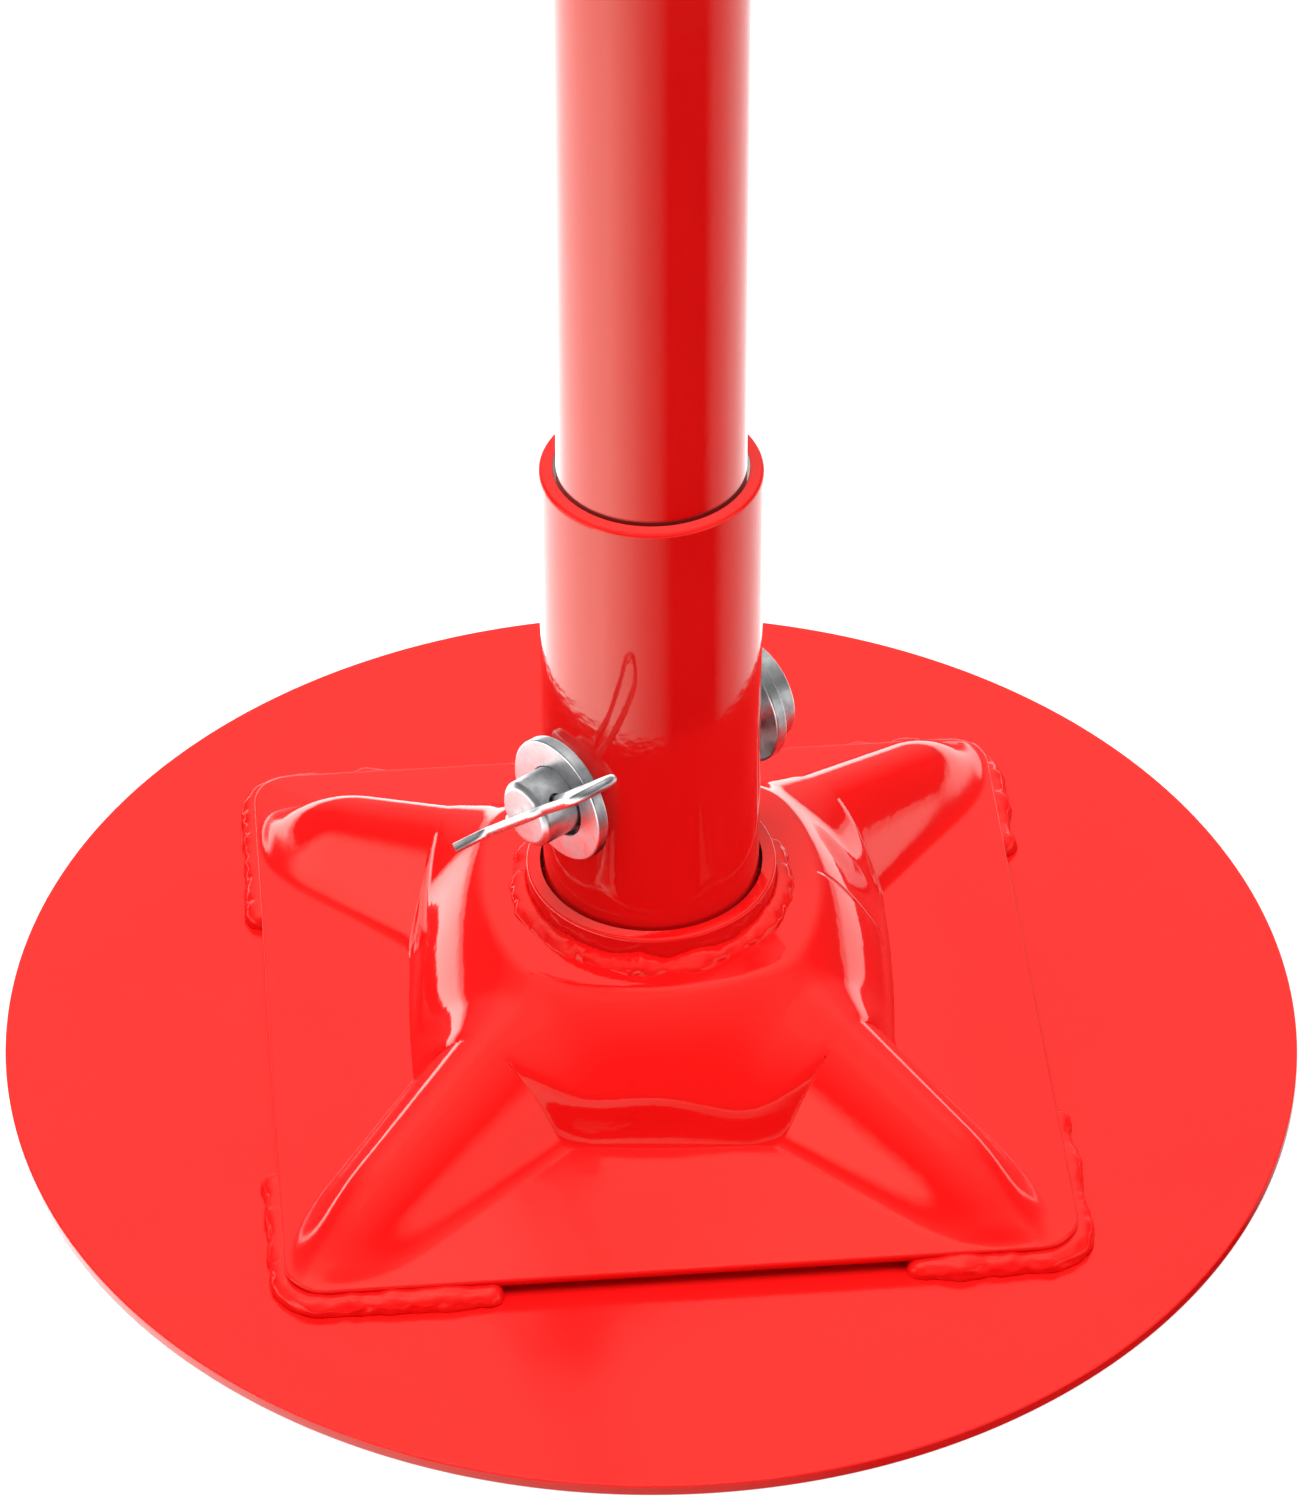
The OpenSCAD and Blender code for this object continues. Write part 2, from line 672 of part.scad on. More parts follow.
// Rubber grip: a sleeve with a raised bead near each end, closed and rounded at its outer end
module grip(turn) {
    far = arm_reach + grip_tip;
    near = far - grip_l;
    b = grip_bead_share * grip_r;
    waist = grip_r - b / 2;
    bore = arm_r + fit_gap;
    color(black_rubber) along_arm(turn) rotate_extrude() polygon(concat([[0, arm_reach + seat_gap],
        [bore, arm_reach + seat_gap], [bore, near], [grip_r - edge_break, near], [grip_r, near + edge_break],
        [grip_r, near + b], [waist, near + 2 * b], [waist, far - 3 * b], [grip_r, far - 2 * b]],
        arc(grip_r - b, far - b, b, 0, 90, steps = 5), [[0, far]]));
}

module grip_right() { grip(arm_turn); }

module grip_left() { grip(arm_turn + 180); }

module lifting_screw() {
    e = 2 * edge_break;
    low = guide_low_z + edge_break;
    top = screw_top_z + journal_h;
    neck_r = journal_r - groove_depth;
    color(bright_steel) difference() {
        rotate_extrude() polygon([[0, low], [guide_spigot_r, low], [guide_spigot_r, guide_top_z],
            [screw_r - e, guide_top_z], [screw_r, guide_top_z + e], [screw_r, screw_top_z - e],
            [screw_r - e, screw_top_z], [journal_r, screw_top_z], [journal_r, groove_z - groove_half],
            [neck_r, groove_z - groove_half], [neck_r, groove_z + groove_half],
            [journal_r, groove_z + groove_half], [journal_r, top - e], [journal_r - e, top], [0, top]]);
        translate([0, 0, low - cut_over])
            cylinder(r = guide_bolt_r + fit_gap, h = guide_bolt_l + 2 * cut_over);
    }
}

module guide_bush() {
    color(cage_brass)
        pipe(tube_bore_r - guide_gap, guide_spigot_r + fit_gap, guide_low_z, guide_top_z);
}

module guide_washer() {
    color(zinc) pipe(tube_bore_r - guide_washer_inset, guide_bolt_r + run_gap,
        guide_low_z - guide_washer_t, guide_low_z, edge_break / 2);
}

module guide_bolt() {
    color(zinc) translate([0, 0, guide_low_z - guide_washer_t]) {
        translate([0, 0, -guide_head_h]) cylinder(r = guide_head_r, h = guide_head_h, $fn = 6);
        cylinder(r = guide_bolt_r, h = guide_bolt_l);
    }
}

// Cup that turns on the screw's journal, with the tapped hole for its set screw
module saddle_cup() {
    color(enamel_red) difference() {
        rotate_extrude() polygon([[cup_bore_r, cup_z], [cup_r - edge_break, cup_z],
            [cup_r, cup_z + edge_break], [cup_r, cradle_z], [0, cradle_z], [0, pocket_z],
            [cup_bore_r, pocket_z]]);
        translate([0, 0, groove_z]) rotate([0, 90, 0])
            cylinder(r = set_screw_r + fit_gap, h = cup_r + cut_over);
    }
}

// One face of the cradle's strip, right of the middle: floor, bend of radius r, and prong
function cradle_side(r) =
    let (turn = 90 - prong_lean, x = saddle_w / 2, y = saddle_t + saddle_bend_r)
    concat(arc(x, y, r, -90, turn - 90, steps = 6),
        [[x + r * sin(turn) + prong_l * cos(turn), y - r * cos(turn) + prong_l * sin(turn)]]);

// Strip of plate bent up at both sides into leaning prongs
module saddle_cradle() {
    outer = cradle_side(saddle_bend_r + saddle_t);
    inner = cradle_side(saddle_bend_r);
    right = concat([[0, 0]], outer, [for (k = [len(inner) - 1:-1:0]) inner[k]], [[0, saddle_t]]);
    left = [for (k = [len(right) - 1:-1:0]) [-right[k][0], right[k][1]]];
    color(enamel_red) difference() {
        translate([0, saddle_l / 2, cradle_z]) rotate([90, 0, 0]) linear_extrude(saddle_l)
            polygon(concat(right, left));
        for (s = [-1, 1]) translate([s * pad_screw_x, 0, cradle_z - cut_over])
            cylinder(r = pad_screw_r + fit_gap, h = saddle_t + 2 * cut_over);
    }
}

module saddle_weld() {
    color(enamel_red) ring_bead(cup_r, cradle_z, saddle_weld_leg, up = -1);
}

// Rubber block with rounded corners and grooves across it, bored for its two screws
module saddle_pad() {
    x = pad_half_w - pad_round;
    y = pad_half_l - pad_round;
    color(black_rubber) difference() {
        translate([0, 0, pad_z]) linear_extrude(pad_t) polygon(concat(arc(x, y, pad_round, 0, 90),
            arc(-x, y, pad_round, 90, 180), arc(-x, -y, pad_round, 180, 270), arc(x, -y, pad_round, 270, 360)));
        for (k = [-1.5:1:1.5]) translate([k * pad_half_w / 3, 0, pad_z + pad_t])
            cube([pad_groove_w, saddle_l, 2 * pad_groove_depth], center = true);
        for (s = [-1, 1]) translate([s * pad_screw_x, 0, 0]) {
            translate([0, 0, pad_z - cut_over]) cylinder(r = pad_screw_r + fit_gap, h = pad_t);
            translate([0, 0, pad_seat_z]) cylinder(r = pad_head_r + fit_gap, h = pad_t);
        }
    }
}

// Screws with flat heads, sunk below the pad's face
module pad_screws() {
    color(zinc) for (s = [-1, 1]) translate([s * pad_screw_x, 0, 0]) rotate_extrude()
        polygon([[0, cradle_z], [pad_screw_r, cradle_z], [pad_screw_r, pad_seat_z], [pad_head_r, pad_seat_z],
            [pad_head_r, pad_seat_z + pad_head_h], [0, pad_seat_z + pad_head_h]]);
}

// Set screw in the cup's wall, with its tip in the journal's groove
module saddle_set_screw() {
    color(bright_steel) translate([0, 0, groove_z]) rotate([0, 90, 0])
        bar(set_screw_r, journal_r - groove_depth + 2 * run_gap, cup_r - edge_break);
}

base_plate();
pedestal();
corner_welds();
collar();
collar_weld();
socket_tube();
socket_foot_weld();
main_tube();
clevis_pin();
head_washer();
clip_washer();
r_clip();
tube_cap();
tube_cap_weld();
lower_race();
bearing_balls();
ball_cage();
upper_race();
bearing_cover();
handle_nut();
handle_arm_right();
handle_arm_left();
grip_right();
grip_left();
lifting_screw();
guide_bush();
guide_washer();
guide_bolt();
saddle_cup();
saddle_cradle();
saddle_weld();
saddle_pad();
pad_screws();
saddle_set_screw();
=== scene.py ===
# %% [markdown]
# # Underhoist stand, made in Blender round its CAD model
# The stand is a tall tube on a round base, with a screw, a spin handle and a saddle on top. The
# imported CAD model gives every size and every moving body. This lesson gives each piece its finer
# form and its finish: glossy red enamel, zinc plate, bright steel, brass and black rubber.
#
# The imported model comes first. It holds the CAD pieces as meshes, in metres, each already in its place.

# %% Open the imported model
import math

import bmesh
import bpy
from mathutils import Matrix, Vector, noise


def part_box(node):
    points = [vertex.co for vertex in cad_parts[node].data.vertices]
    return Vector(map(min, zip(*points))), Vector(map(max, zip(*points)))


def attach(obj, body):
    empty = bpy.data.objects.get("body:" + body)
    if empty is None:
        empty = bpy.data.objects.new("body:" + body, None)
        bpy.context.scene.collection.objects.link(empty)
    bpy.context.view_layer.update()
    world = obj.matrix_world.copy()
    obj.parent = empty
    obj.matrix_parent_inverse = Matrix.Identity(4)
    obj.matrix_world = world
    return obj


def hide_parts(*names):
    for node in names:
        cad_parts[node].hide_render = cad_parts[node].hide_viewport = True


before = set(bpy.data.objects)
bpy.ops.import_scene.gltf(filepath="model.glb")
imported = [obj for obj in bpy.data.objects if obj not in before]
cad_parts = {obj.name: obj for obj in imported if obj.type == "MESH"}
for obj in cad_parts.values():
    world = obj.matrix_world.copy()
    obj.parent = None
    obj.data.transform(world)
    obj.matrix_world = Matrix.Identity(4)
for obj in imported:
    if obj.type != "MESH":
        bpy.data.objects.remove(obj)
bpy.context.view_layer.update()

MM = 0.001

# %% [markdown]
# ## The camera
# A photograph of a real thing is matched first by its camera. The plate's outline is a known circle,
# so its ellipse in the picture gives the height, the distance and the lens. The camera looks along +Y
# and down. A lens is given in millimetres, so the pixels that were measured are turned into parts of
# the sensor: the photograph's long side is the sensor's 36 mm.

# %% Place the camera
PHOTO_LONG_SIDE_PX = 1500
FOCAL_PX = 6455
SENSOR_MM = 36
CAMERA_ELEVATION = 39.81
CAMERA_PLACE = Vector((-0.4, -1133.2, 1029.9)) * MM

camera_data = bpy.data.cameras.new("camera")
camera_data.sensor_width = SENSOR_MM
camera_data.lens = FOCAL_PX * SENSOR_MM / PHOTO_LONG_SIDE_PX
camera = bpy.data.objects.new("camera", camera_data)
camera.location = CAMERA_PLACE
camera.rotation_euler = (math.radians(90 - CAMERA_ELEVATION), 0, 0)
bpy.context.scene.collection.objects.link(camera)
bpy.context.scene.camera = camera
bpy.context.scene.view_settings.view_transform = "Standard"
print("lens:", round(camera_data.lens, 2), "mm")

# %% [markdown]
# ## Shader maths in plain Python
# A material is a network of nodes. Written link by link it is hard to read, so a small class wraps a
# socket and overloads the operators: `rough + 0.1 * spots` then adds the Math nodes by itself. One
# method adds any other node, and takes its settings and its socket values by name.

# %% A wrapped socket
class Signal:
    """A node's output that can be used in sums."""

    def __init__(self, finish, socket):
        self.finish, self.socket = finish, socket

    def maths(self, operation, other, turned_round=False):
        values = (other, self) if turned_round else (self, other)
        return self.finish.node("ShaderNodeMath", {"operation": operation},
                                {0: values[0], 1: values[1]})

    def __add__(self, other):
        return self.maths("ADD", other)

    def __sub__(self, other):
        return self.maths("SUBTRACT", other)

    def __mul__(self, other):
        return self.maths("MULTIPLY", other)

    def __rsub__(self, other):
        return self.maths("SUBTRACT", other, turned_round=True)

    __radd__, __rmul__ = __add__, __mul__


# %% [markdown]
# A node's settings come first, because they can change which sockets it has. Then each socket gets a
# plain value or a link.

# %% A node tree with one method
class Finish:
    """A node tree that is built up by calls of node()."""

    def __init__(self, tree):
        self.tree = tree
        tree.nodes.clear()

    def node(self, kind, settings=None, inputs=None, output=0):
        made = self.tree.nodes.new(kind)
        for name, value in (settings or {}).items():
            if name == "stops":
                set_stops(made.color_ramp, value)
            else:
                setattr(made, name, value)
        for name, value in (inputs or {}).items():
            if isinstance(value, Signal):
                self.tree.links.new(value.socket, made.inputs[name])
            else:
                made.inputs[name].default_value = value
        return Signal(self, made.outputs[output]) if made.outputs else None


def set_stops(ramp, stops):
    """Gives a colour ramp its stops: (position, grey value or colour)."""
    while len(ramp.elements) > 1:
        ramp.elements.remove(ramp.elements[0])
    for place, (position, value) in enumerate(stops):
        stop = ramp.elements[0] if place == 0 else ramp.elements.new(position)
        stop.position = position
        stop.color = value if isinstance(value, tuple) else (value, value, value, 1)


# %% [markdown]
# ## Tools that every finish uses
# A real surface is never the same all over, so every finish starts from noise. It is laid out in the
# object's own coordinates, which need no unwrapping. Ramps turn noise or a length into a mask.

# %% Noise, masks and the last shader
def new_finish(name):
    """A material's node tree, and the place on the object as its pattern's coordinates."""
    material = bpy.data.materials.new(name)
    material.use_nodes = True
    finish = Finish(material.node_tree)
    place = finish.node("ShaderNodeTexCoord", output="Object")
    return material, finish, place


def cloudy(finish, place, size, detail=2.0, roughness=0.5, stretch=(1, 1, 1)):
    """Soft noise from 0 to 1 whose spots are about size metres wide."""
    scale = tuple(share / size for share in stretch)
    scaled = finish.node("ShaderNodeMapping", {}, {"Vector": place, "Scale": scale})
    return finish.node("ShaderNodeTexNoise", {}, {"Vector": scaled, "Scale": 1.0,
                                                  "Detail": detail, "Roughness": roughness})


def ramp(finish, factor, *stops):
    return finish.node("ShaderNodeValToRGB", {"stops": stops}, {"Fac": factor})


def falling(finish, length, full, gone, whole):
    """A mask of a length: 1 up to full and 0 from gone. A ramp ends at 1, so all are shares of a whole."""
    return ramp(finish, length * (1 / whole), (full / whole, 1.0), (gone / whole, 0.0))


def vector_maths(finish, operation, *vectors, output="Vector"):
    settings = {"operation": operation}
    return finish.node("ShaderNodeVectorMath", settings, dict(enumerate(vectors)), output)


def blend_colours(finish, factor, first, second):
    return finish.node("ShaderNodeMix", {"data_type": "RGBA"},
                       {0: factor, 6: first, 7: second}, output=2)


def bumped(finish, height):
    """A bump from a height in metres."""
    return finish.node("ShaderNodeBump", {}, {"Height": height, "Distance": 1.0, "Strength": 1.0})


def surface(finish, inputs):
    """Ends a material with its Principled shader."""
    shader = finish.node("ShaderNodeBsdfPrincipled", {}, inputs)
    finish.node("ShaderNodeOutputMaterial", {}, {"Surface": shader})


# %% [markdown]
# ## The enamel
# The paint is a thick gloss enamel: a saturated red under a clear, wet-looking surface. It reflects
# like glass, so the form reads by its reflections. Sprayed paint dries with orange peel, a faint
# waviness of about 2 mm, which gives every highlight a ragged edge. It is a bump, since no outline
# shows it. The gloss is the base layer's own and not a coat, because a coat ignores the bump.
# Two masks on the place change it, both for the look. Low down the paint is a little duller, so that pin
# and clip aren't mirrored sharply in the plate. In the gap between tube and socket, and for half a
# millimetre over the socket's rim, it is a painted shade: dark and dull, so that no light shows in there.

# %% Red enamel
ENAMEL_RED = (0.82, 0.007, 0.006, 1)
ENAMEL_DEEP = (0.74, 0.004, 0.005, 1)
# Painted shade: a dark, dull red for the gap between tube and socket, where no light reaches.
ENAMEL_GAP_SHADE = (0.16, 0.003, 0.003, 1)
ENAMEL_IOR, ENAMEL_TINT = 1.52, (1.0, 1.0, 0.80, 1)
WET_ROUGH, DRIFT_ROUGH, DUSTY_ROUGH, GAP_SHADE_ROUGH = 0.05, 0.03, 0.10, 0.85
PEEL_SIZE, PEEL_DEPTH = 2.2 * MM, 0.022 * MM
WAVE_SIZE, WAVE_DEPTH = 14 * MM, 0.05 * MM
DRIFT_SIZE = 40 * MM
GAP_REACH = {"full": 21.85 * MM, "gone": 21.975 * MM, "whole": 25 * MM}
GAP_HEIGHT = {"full": 167.3 * MM, "gone": 167.9 * MM, "whole": 200 * MM}
DUSTY_HEIGHT = {"full": 11 * MM, "gone": 17 * MM, "whole": 200 * MM}


def make_enamel():
    material, finish, place = new_finish("enamel red")
    peel = cloudy(finish, place, PEEL_SIZE, detail=1.5)
    wave = cloudy(finish, place, WAVE_SIZE, detail=1.0)
    height = peel * PEEL_DEPTH + wave * WAVE_DEPTH
    drift = cloudy(finish, place, DRIFT_SIZE, detail=3.0)
    up = finish.node("ShaderNodeSeparateXYZ", {}, {"Vector": place}, output="Z")
    flat = vector_maths(finish, "MULTIPLY", place, (1, 1, 0))
    reach = vector_maths(finish, "LENGTH", flat, output="Value")
    # The mask of the painted shade in the gap between tube and socket and just over the socket's rim.
    gap_shade = falling(finish, reach, **GAP_REACH) * falling(finish, up, **GAP_HEIGHT)
    dusty = falling(finish, up, **DUSTY_HEIGHT)
    sprayed = blend_colours(finish, drift, ENAMEL_DEEP, ENAMEL_RED)
    colour = blend_colours(finish, gap_shade, sprayed, ENAMEL_GAP_SHADE)
    rough = WET_ROUGH + DRIFT_ROUGH * drift + DUSTY_ROUGH * dusty + GAP_SHADE_ROUGH * gap_shade
    surface(finish, {"Base Color": colour, "Roughness": rough, "IOR": ENAMEL_IOR,
                     "Specular Tint": ENAMEL_TINT, "Normal": bumped(finish, height)})
    return material


# %% [markdown]
# ## The zinc plate
# Pin, washers and clip are zinc plated: a pale, slightly bluish metal, bright but not polished. The
# bath leaves mottled patches that are duller, and the stamped faces have small dents.

# %% Zinc plate
ZINC_LIGHT = (0.80, 0.80, 0.80, 1)
ZINC_DARK = (0.50, 0.51, 0.53, 1)
ZINC_ROUGH, ZINC_SHEEN = 0.42, 0.14
PATCH_SIZE, PATCH_DEPTH = 4 * MM, 0.03 * MM
GRAIN_SIZE, GRAIN_DEPTH = 0.6 * MM, 0.004 * MM


def make_zinc():
    material, finish, place = new_finish("zinc plate")
    patches = cloudy(finish, place, PATCH_SIZE, detail=4.0, roughness=0.6)
    grain = cloudy(finish, place, GRAIN_SIZE, detail=3.0)
    spread = ramp(finish, patches, (0.35, 0.0), (0.68, 1.0))
    colour = blend_colours(finish, spread, ZINC_DARK, ZINC_LIGHT)
    height = patches * PATCH_DEPTH + grain * GRAIN_DEPTH
    surface(finish, {"Base Color": colour, "Metallic": 1.0,
                     "Roughness": ZINC_ROUGH - ZINC_SHEEN * spread,
                     "Normal": bumped(finish, height)})
    return material


# %% [markdown]
# ## Bright steel and brass
# Both metals come off the lathe with fine rings round their axis. Noise that is stretched wide across
# the axis and kept fine along it gives such rings. One function makes both, from different values.

# %% Metals from the lathe
def make_lathed(name, ring_size, ring_stretch, ring_depth, spot_size, dark, light, rough, spot_rough):
    """Bare turned metal with soft spots, which are lighter and have another roughness."""
    material, finish, place = new_finish(name)
    rings = cloudy(finish, place, ring_size, detail=2.0, stretch=(ring_stretch, ring_stretch, 1))
    spots = cloudy(finish, place, spot_size, detail=4.0)
    surface(finish, {"Base Color": blend_colours(finish, spots, dark, light), "Metallic": 1.0,
                     "Roughness": rough + spot_rough * spots,
                     "Normal": bumped(finish, rings * ring_depth)})
    return material


BRIGHT_STEEL = {"ring_size": 0.5 * MM, "ring_stretch": 0.04, "ring_depth": 0.010 * MM,
                "spot_size": 9 * MM, "dark": (0.34, 0.35, 0.36, 1), "light": (0.55, 0.55, 0.56, 1),
                "rough": 0.22, "spot_rough": 0.18}
BRASS = {"ring_size": 0.4 * MM, "ring_stretch": 0.05, "ring_depth": 0.008 * MM,
         "spot_size": 6 * MM, "dark": (0.36, 0.22, 0.06, 1), "light": (0.66, 0.46, 0.15, 1),
         "rough": 0.42, "spot_rough": -0.14}

# %% [markdown]
# ## Black rubber
# Rubber is never quite black: a pale bloom comes to its surface in soft clouds and makes it duller.

# %% Black rubber
RUBBER_BLACK = (0.012, 0.012, 0.013, 1)
RUBBER_BLOOM = (0.030, 0.030, 0.031, 1)
RUBBER_ROUGH, BLOOM_ROUGH = 0.48, 0.22
BLOOM_SIZE = 18 * MM
RUBBER_GRAIN_SIZE, RUBBER_GRAIN_DEPTH = 0.5 * MM, 0.03 * MM


def make_rubber():
    material, finish, place = new_finish("black rubber")
    grain = cloudy(finish, place, RUBBER_GRAIN_SIZE, detail=3.0)
    bloom = cloudy(finish, place, BLOOM_SIZE, detail=4.0)
    surface(finish, {"Base Color": blend_colours(finish, bloom, RUBBER_BLACK, RUBBER_BLOOM),
                     "Roughness": RUBBER_ROUGH + BLOOM_ROUGH * bloom,
                     "Normal": bumped(finish, grain * RUBBER_GRAIN_DEPTH)})
    return material


FINISHES = {"enamel_red": make_enamel(), "zinc_plate": make_zinc(),
            "bright_steel": make_lathed("bright steel", **BRIGHT_STEEL),
            "brass": make_lathed("brass", **BRASS), "black_rubber": make_rubber()}
print("finishes:", ", ".join(FINISHES))

# %% [markdown]
# ## Hands for the modelling
# The pieces are made with the same operators that a person uses: add a primitive, go into edit mode,
# pick some edges, extrude, spin. A few small helpers do what comes back in every piece. The first ones
# select, because an operator acts on all that is selected.

# %% Select
def nothing_selected():
    """Leaves edit mode and selects nothing."""
    if bpy.context.object and bpy.context.object.mode != "OBJECT":
        bpy.ops.object.mode_set(mode="OBJECT")
    bpy.ops.object.select_all(action="DESELECT")


def only(piece):
    """Selects this piece alone and makes it the active one."""
    nothing_selected()
    piece.select_set(True)
    bpy.context.view_layer.objects.active = piece


def pick(piece, kind, test):
    """Selects the vertices, edges or faces of the piece in edit mode for which the test is true."""
    bpy.ops.mesh.select_mode(type=kind)
    bpy.ops.mesh.select_all(action="DESELECT")
    net = bmesh.from_edit_mesh(piece.data)
    for part in {"VERT": net.verts, "EDGE": net.edges, "FACE": net.faces}[kind]:
        if test(part):
            part.select_set(True)
    bmesh.update_edit_mesh(piece.data)


def face_outward():
    """Turns every face of the active piece outward, and leaves edit mode."""
    bpy.ops.object.mode_set(mode="EDIT")
    bpy.ops.mesh.select_all(action="SELECT")
    bpy.ops.mesh.normals_make_consistent(inside=False)
    bpy.ops.object.mode_set(mode="OBJECT")


# %% [markdown]
# ## Round every edge
# No real edge is a line. Its thin round is what catches the light. A Bevel modifier that is limited by
# angle finds the sharp edges by itself, and weighted normals keep the faces beside it flat.

# %% Modifiers and broken edges
SHARP_DEGREES = 35


def use_modifier(piece, kind, **settings):
    """Adds a modifier with its settings, and applies it."""
    only(piece)
    made = piece.modifiers.new(kind.lower(), kind)
    for name, value in settings.items():
        setattr(made, name, value)
    bpy.ops.object.modifier_apply(modifier=made.name)


def even_shading(piece):
    """Shades curves smooth and keeps flats flat, whatever small faces border them."""
    only(piece)
    bpy.ops.object.shade_smooth_by_angle(angle=math.radians(SHARP_DEGREES))
    use_modifier(piece, "WEIGHTED_NORMAL", keep_sharp=True)


def break_edges(piece, width, segments=3, sharp=SHARP_DEGREES):
    """Rounds every edge that turns by more than an angle in degrees."""
    use_modifier(piece, "BEVEL", width=width, segments=segments, limit_method="ANGLE",
                 angle_limit=math.radians(sharp))
    even_shading(piece)


# %% [markdown]
# ## Drill and mill
# The tool is a plain cylinder or block in the right place, a Boolean takes it out of the piece, and
# then it is thrown away. A hole's line is a matrix, and its Z axis is the drill.

# %% Drill and mill
def moved(x, y, z):
    return Matrix.Translation((x, y, z))


def turned_about(axis, angle):
    return Matrix.Rotation(angle, 4, axis)


def drill(piece, radius, depth, line, steps=64):
    """Bores a round hole through the piece, along the Z axis of a matrix and centred on it."""
    nothing_selected()
    bpy.ops.mesh.primitive_cylinder_add(vertices=steps, radius=radius, depth=depth)
    cut_with(piece, line)


def cut_slot(piece, place, size):
    """Mills a straight slot into the piece."""
    nothing_selected()
    bpy.ops.mesh.primitive_cube_add(size=1, scale=size)
    cut_with(piece, moved(*place))


def cut_with(piece, matrix):
    """Takes the active object out of the piece, and then away."""
    tool = bpy.context.object
    tool.matrix_world = matrix
    bpy.context.view_layer.update()
    use_modifier(piece, "BOOLEAN", object=tool, operation="DIFFERENCE", solver="EXACT")
    bpy.data.objects.remove(tool)


# %% [markdown]
# ## Hand a piece over
# A finished piece has its place in its mesh, because a pose moves the whole body. Then it gets its finish
# and its body, and the CAD node that it stands for is hidden.

# %% Join and hand over
def joined(pieces):
    """Several parts of one piece as one mesh."""
    nothing_selected()
    for piece in pieces:
        piece.select_set(True)
    bpy.context.view_layer.objects.active = pieces[0]
    bpy.ops.object.join()
    return bpy.context.object


def hand_over(piece, name, body, finish, node):
    """Names the piece, puts its place into its mesh, gives it its finish and sets it on its body."""
    only(piece)
    bpy.ops.object.transform_apply(location=True, rotation=True, scale=True)
    piece.name = piece.data.name = name
    piece.data.materials.clear()
    piece.data.materials.append(FINISHES[finish])
    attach(piece, body)
    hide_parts(node)
    print(f"{name}: {len(piece.data.polygons)} faces on {body}")
    return piece


# %% [markdown]
# ## The lathe
# Tubes, washers, pins and nuts are all turned shapes. By hand one draws half of the section by
# extruding a single vertex from corner to corner, and spins it round the axis. The corners are drawn
# sharp, and a bevel rounds them afterwards, which is quicker and more even than drawing each arc.

# %% Turn a profile
MERGE_REACH = 0.001 * MM


def drawn(points):
    """Draws a line from point to point, by extruding one vertex, and stays in edit mode."""
    nothing_selected()
    bpy.ops.mesh.primitive_plane_add(size=MM)
    bpy.ops.object.mode_set(mode="EDIT")
    bpy.ops.mesh.merge(type="CENTER")
    for start, end in zip([Vector((0, 0, 0))] + points, points):
        bpy.ops.mesh.extrude_vertices_move(TRANSFORM_OT_translate={"value": end - start})
    bpy.ops.mesh.select_all(action="DESELECT")
    pick(bpy.context.object, "VERT", lambda vertex: vertex.index == 0)
    bpy.ops.mesh.delete(type="VERT")
    return bpy.context.object


def turned(profile, steps=144, closed=True):
    """Spins a section of (radius, height) points in metres round the Z axis into a solid."""
    piece = drawn([Vector((r, 0, z)) for r, z in profile])
    if closed:
        ends = {0, len(profile) - 1}
        pick(piece, "VERT", lambda vertex: vertex.index in ends)
        bpy.ops.mesh.edge_face_add()
    bpy.ops.mesh.select_all(action="SELECT")
    bpy.ops.mesh.spin(steps=steps, angle=2 * math.pi, center=(0, 0, 0), axis=(0, 0, 1))
    bpy.ops.mesh.select_all(action="SELECT")
    bpy.ops.mesh.remove_doubles(threshold=MERGE_REACH)
    bpy.ops.mesh.normals_make_consistent(inside=False)
    bpy.ops.object.mode_set(mode="OBJECT")
    return piece


def turned_mm(profile, **options):
    """The same, with the section in millimetres."""
    return turned([(r * MM, z * MM) for r, z in profile], **options)


def pipe(bore_r, outer_r, low, high, steps=144):
    return turned([(bore_r, low), (outer_r, low), (outer_r, high), (bore_r, high)], steps)


# %% [markdown]
# ## Wire
# A wire's middle line is drawn like a section and becomes a curve, whose bevel makes it round.

# %% Draw a wire
WIRE_END_ROUND = 0.3 * MM


def rod(points, radius):
    """A round wire that follows a line of points."""
    piece = drawn(points)
    bpy.ops.object.mode_set(mode="OBJECT")
    bpy.ops.object.convert(target="CURVE")
    piece = bpy.context.object
    piece.data.bevel_depth = radius
    piece.data.bevel_resolution = 6
    piece.data.use_fill_caps = True
    bpy.ops.object.convert(target="MESH")
    piece = bpy.context.object
    break_edges(piece, WIRE_END_ROUND)
    return piece


# %% [markdown]
# ## The net
# Pressed sheet and weld beads have forms that no lathe gives. They start as a grid whose every point
# is then laid in place by a formula: u runs from 0 to 1 along one side of the grid, v along the other.
# Every net here closes on itself along u or v, and the points that meet there are merged.

# %% Lay a net
def net(columns, rows, place):
    """A grid of columns and rows of faces, with each point laid at place(u, v) and its seam merged."""
    nothing_selected()
    bpy.ops.mesh.primitive_grid_add(x_subdivisions=columns, y_subdivisions=rows, size=1)
    piece = bpy.context.object
    for vertex in piece.data.vertices:
        u = round((vertex.co.x + 0.5) * columns) / columns
        v = round((vertex.co.y + 0.5) * rows) / rows
        vertex.co = place(u, v)
    bpy.ops.object.mode_set(mode="EDIT")
    bpy.ops.mesh.select_all(action="SELECT")
    bpy.ops.mesh.remove_doubles(threshold=MERGE_REACH)
    bpy.ops.object.mode_set(mode="OBJECT")
    return piece


# %% [markdown]
# ## The base plate
# A flat steel disc, cut by laser, with its sharp edge just broken. It is turned on the lathe and
# bevelled. Its size comes from the CAD node's box.

# %% Base plate
plate_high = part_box("base_plate")[1]
PLATE_R, PLATE_TOP = plate_high.x, plate_high.z

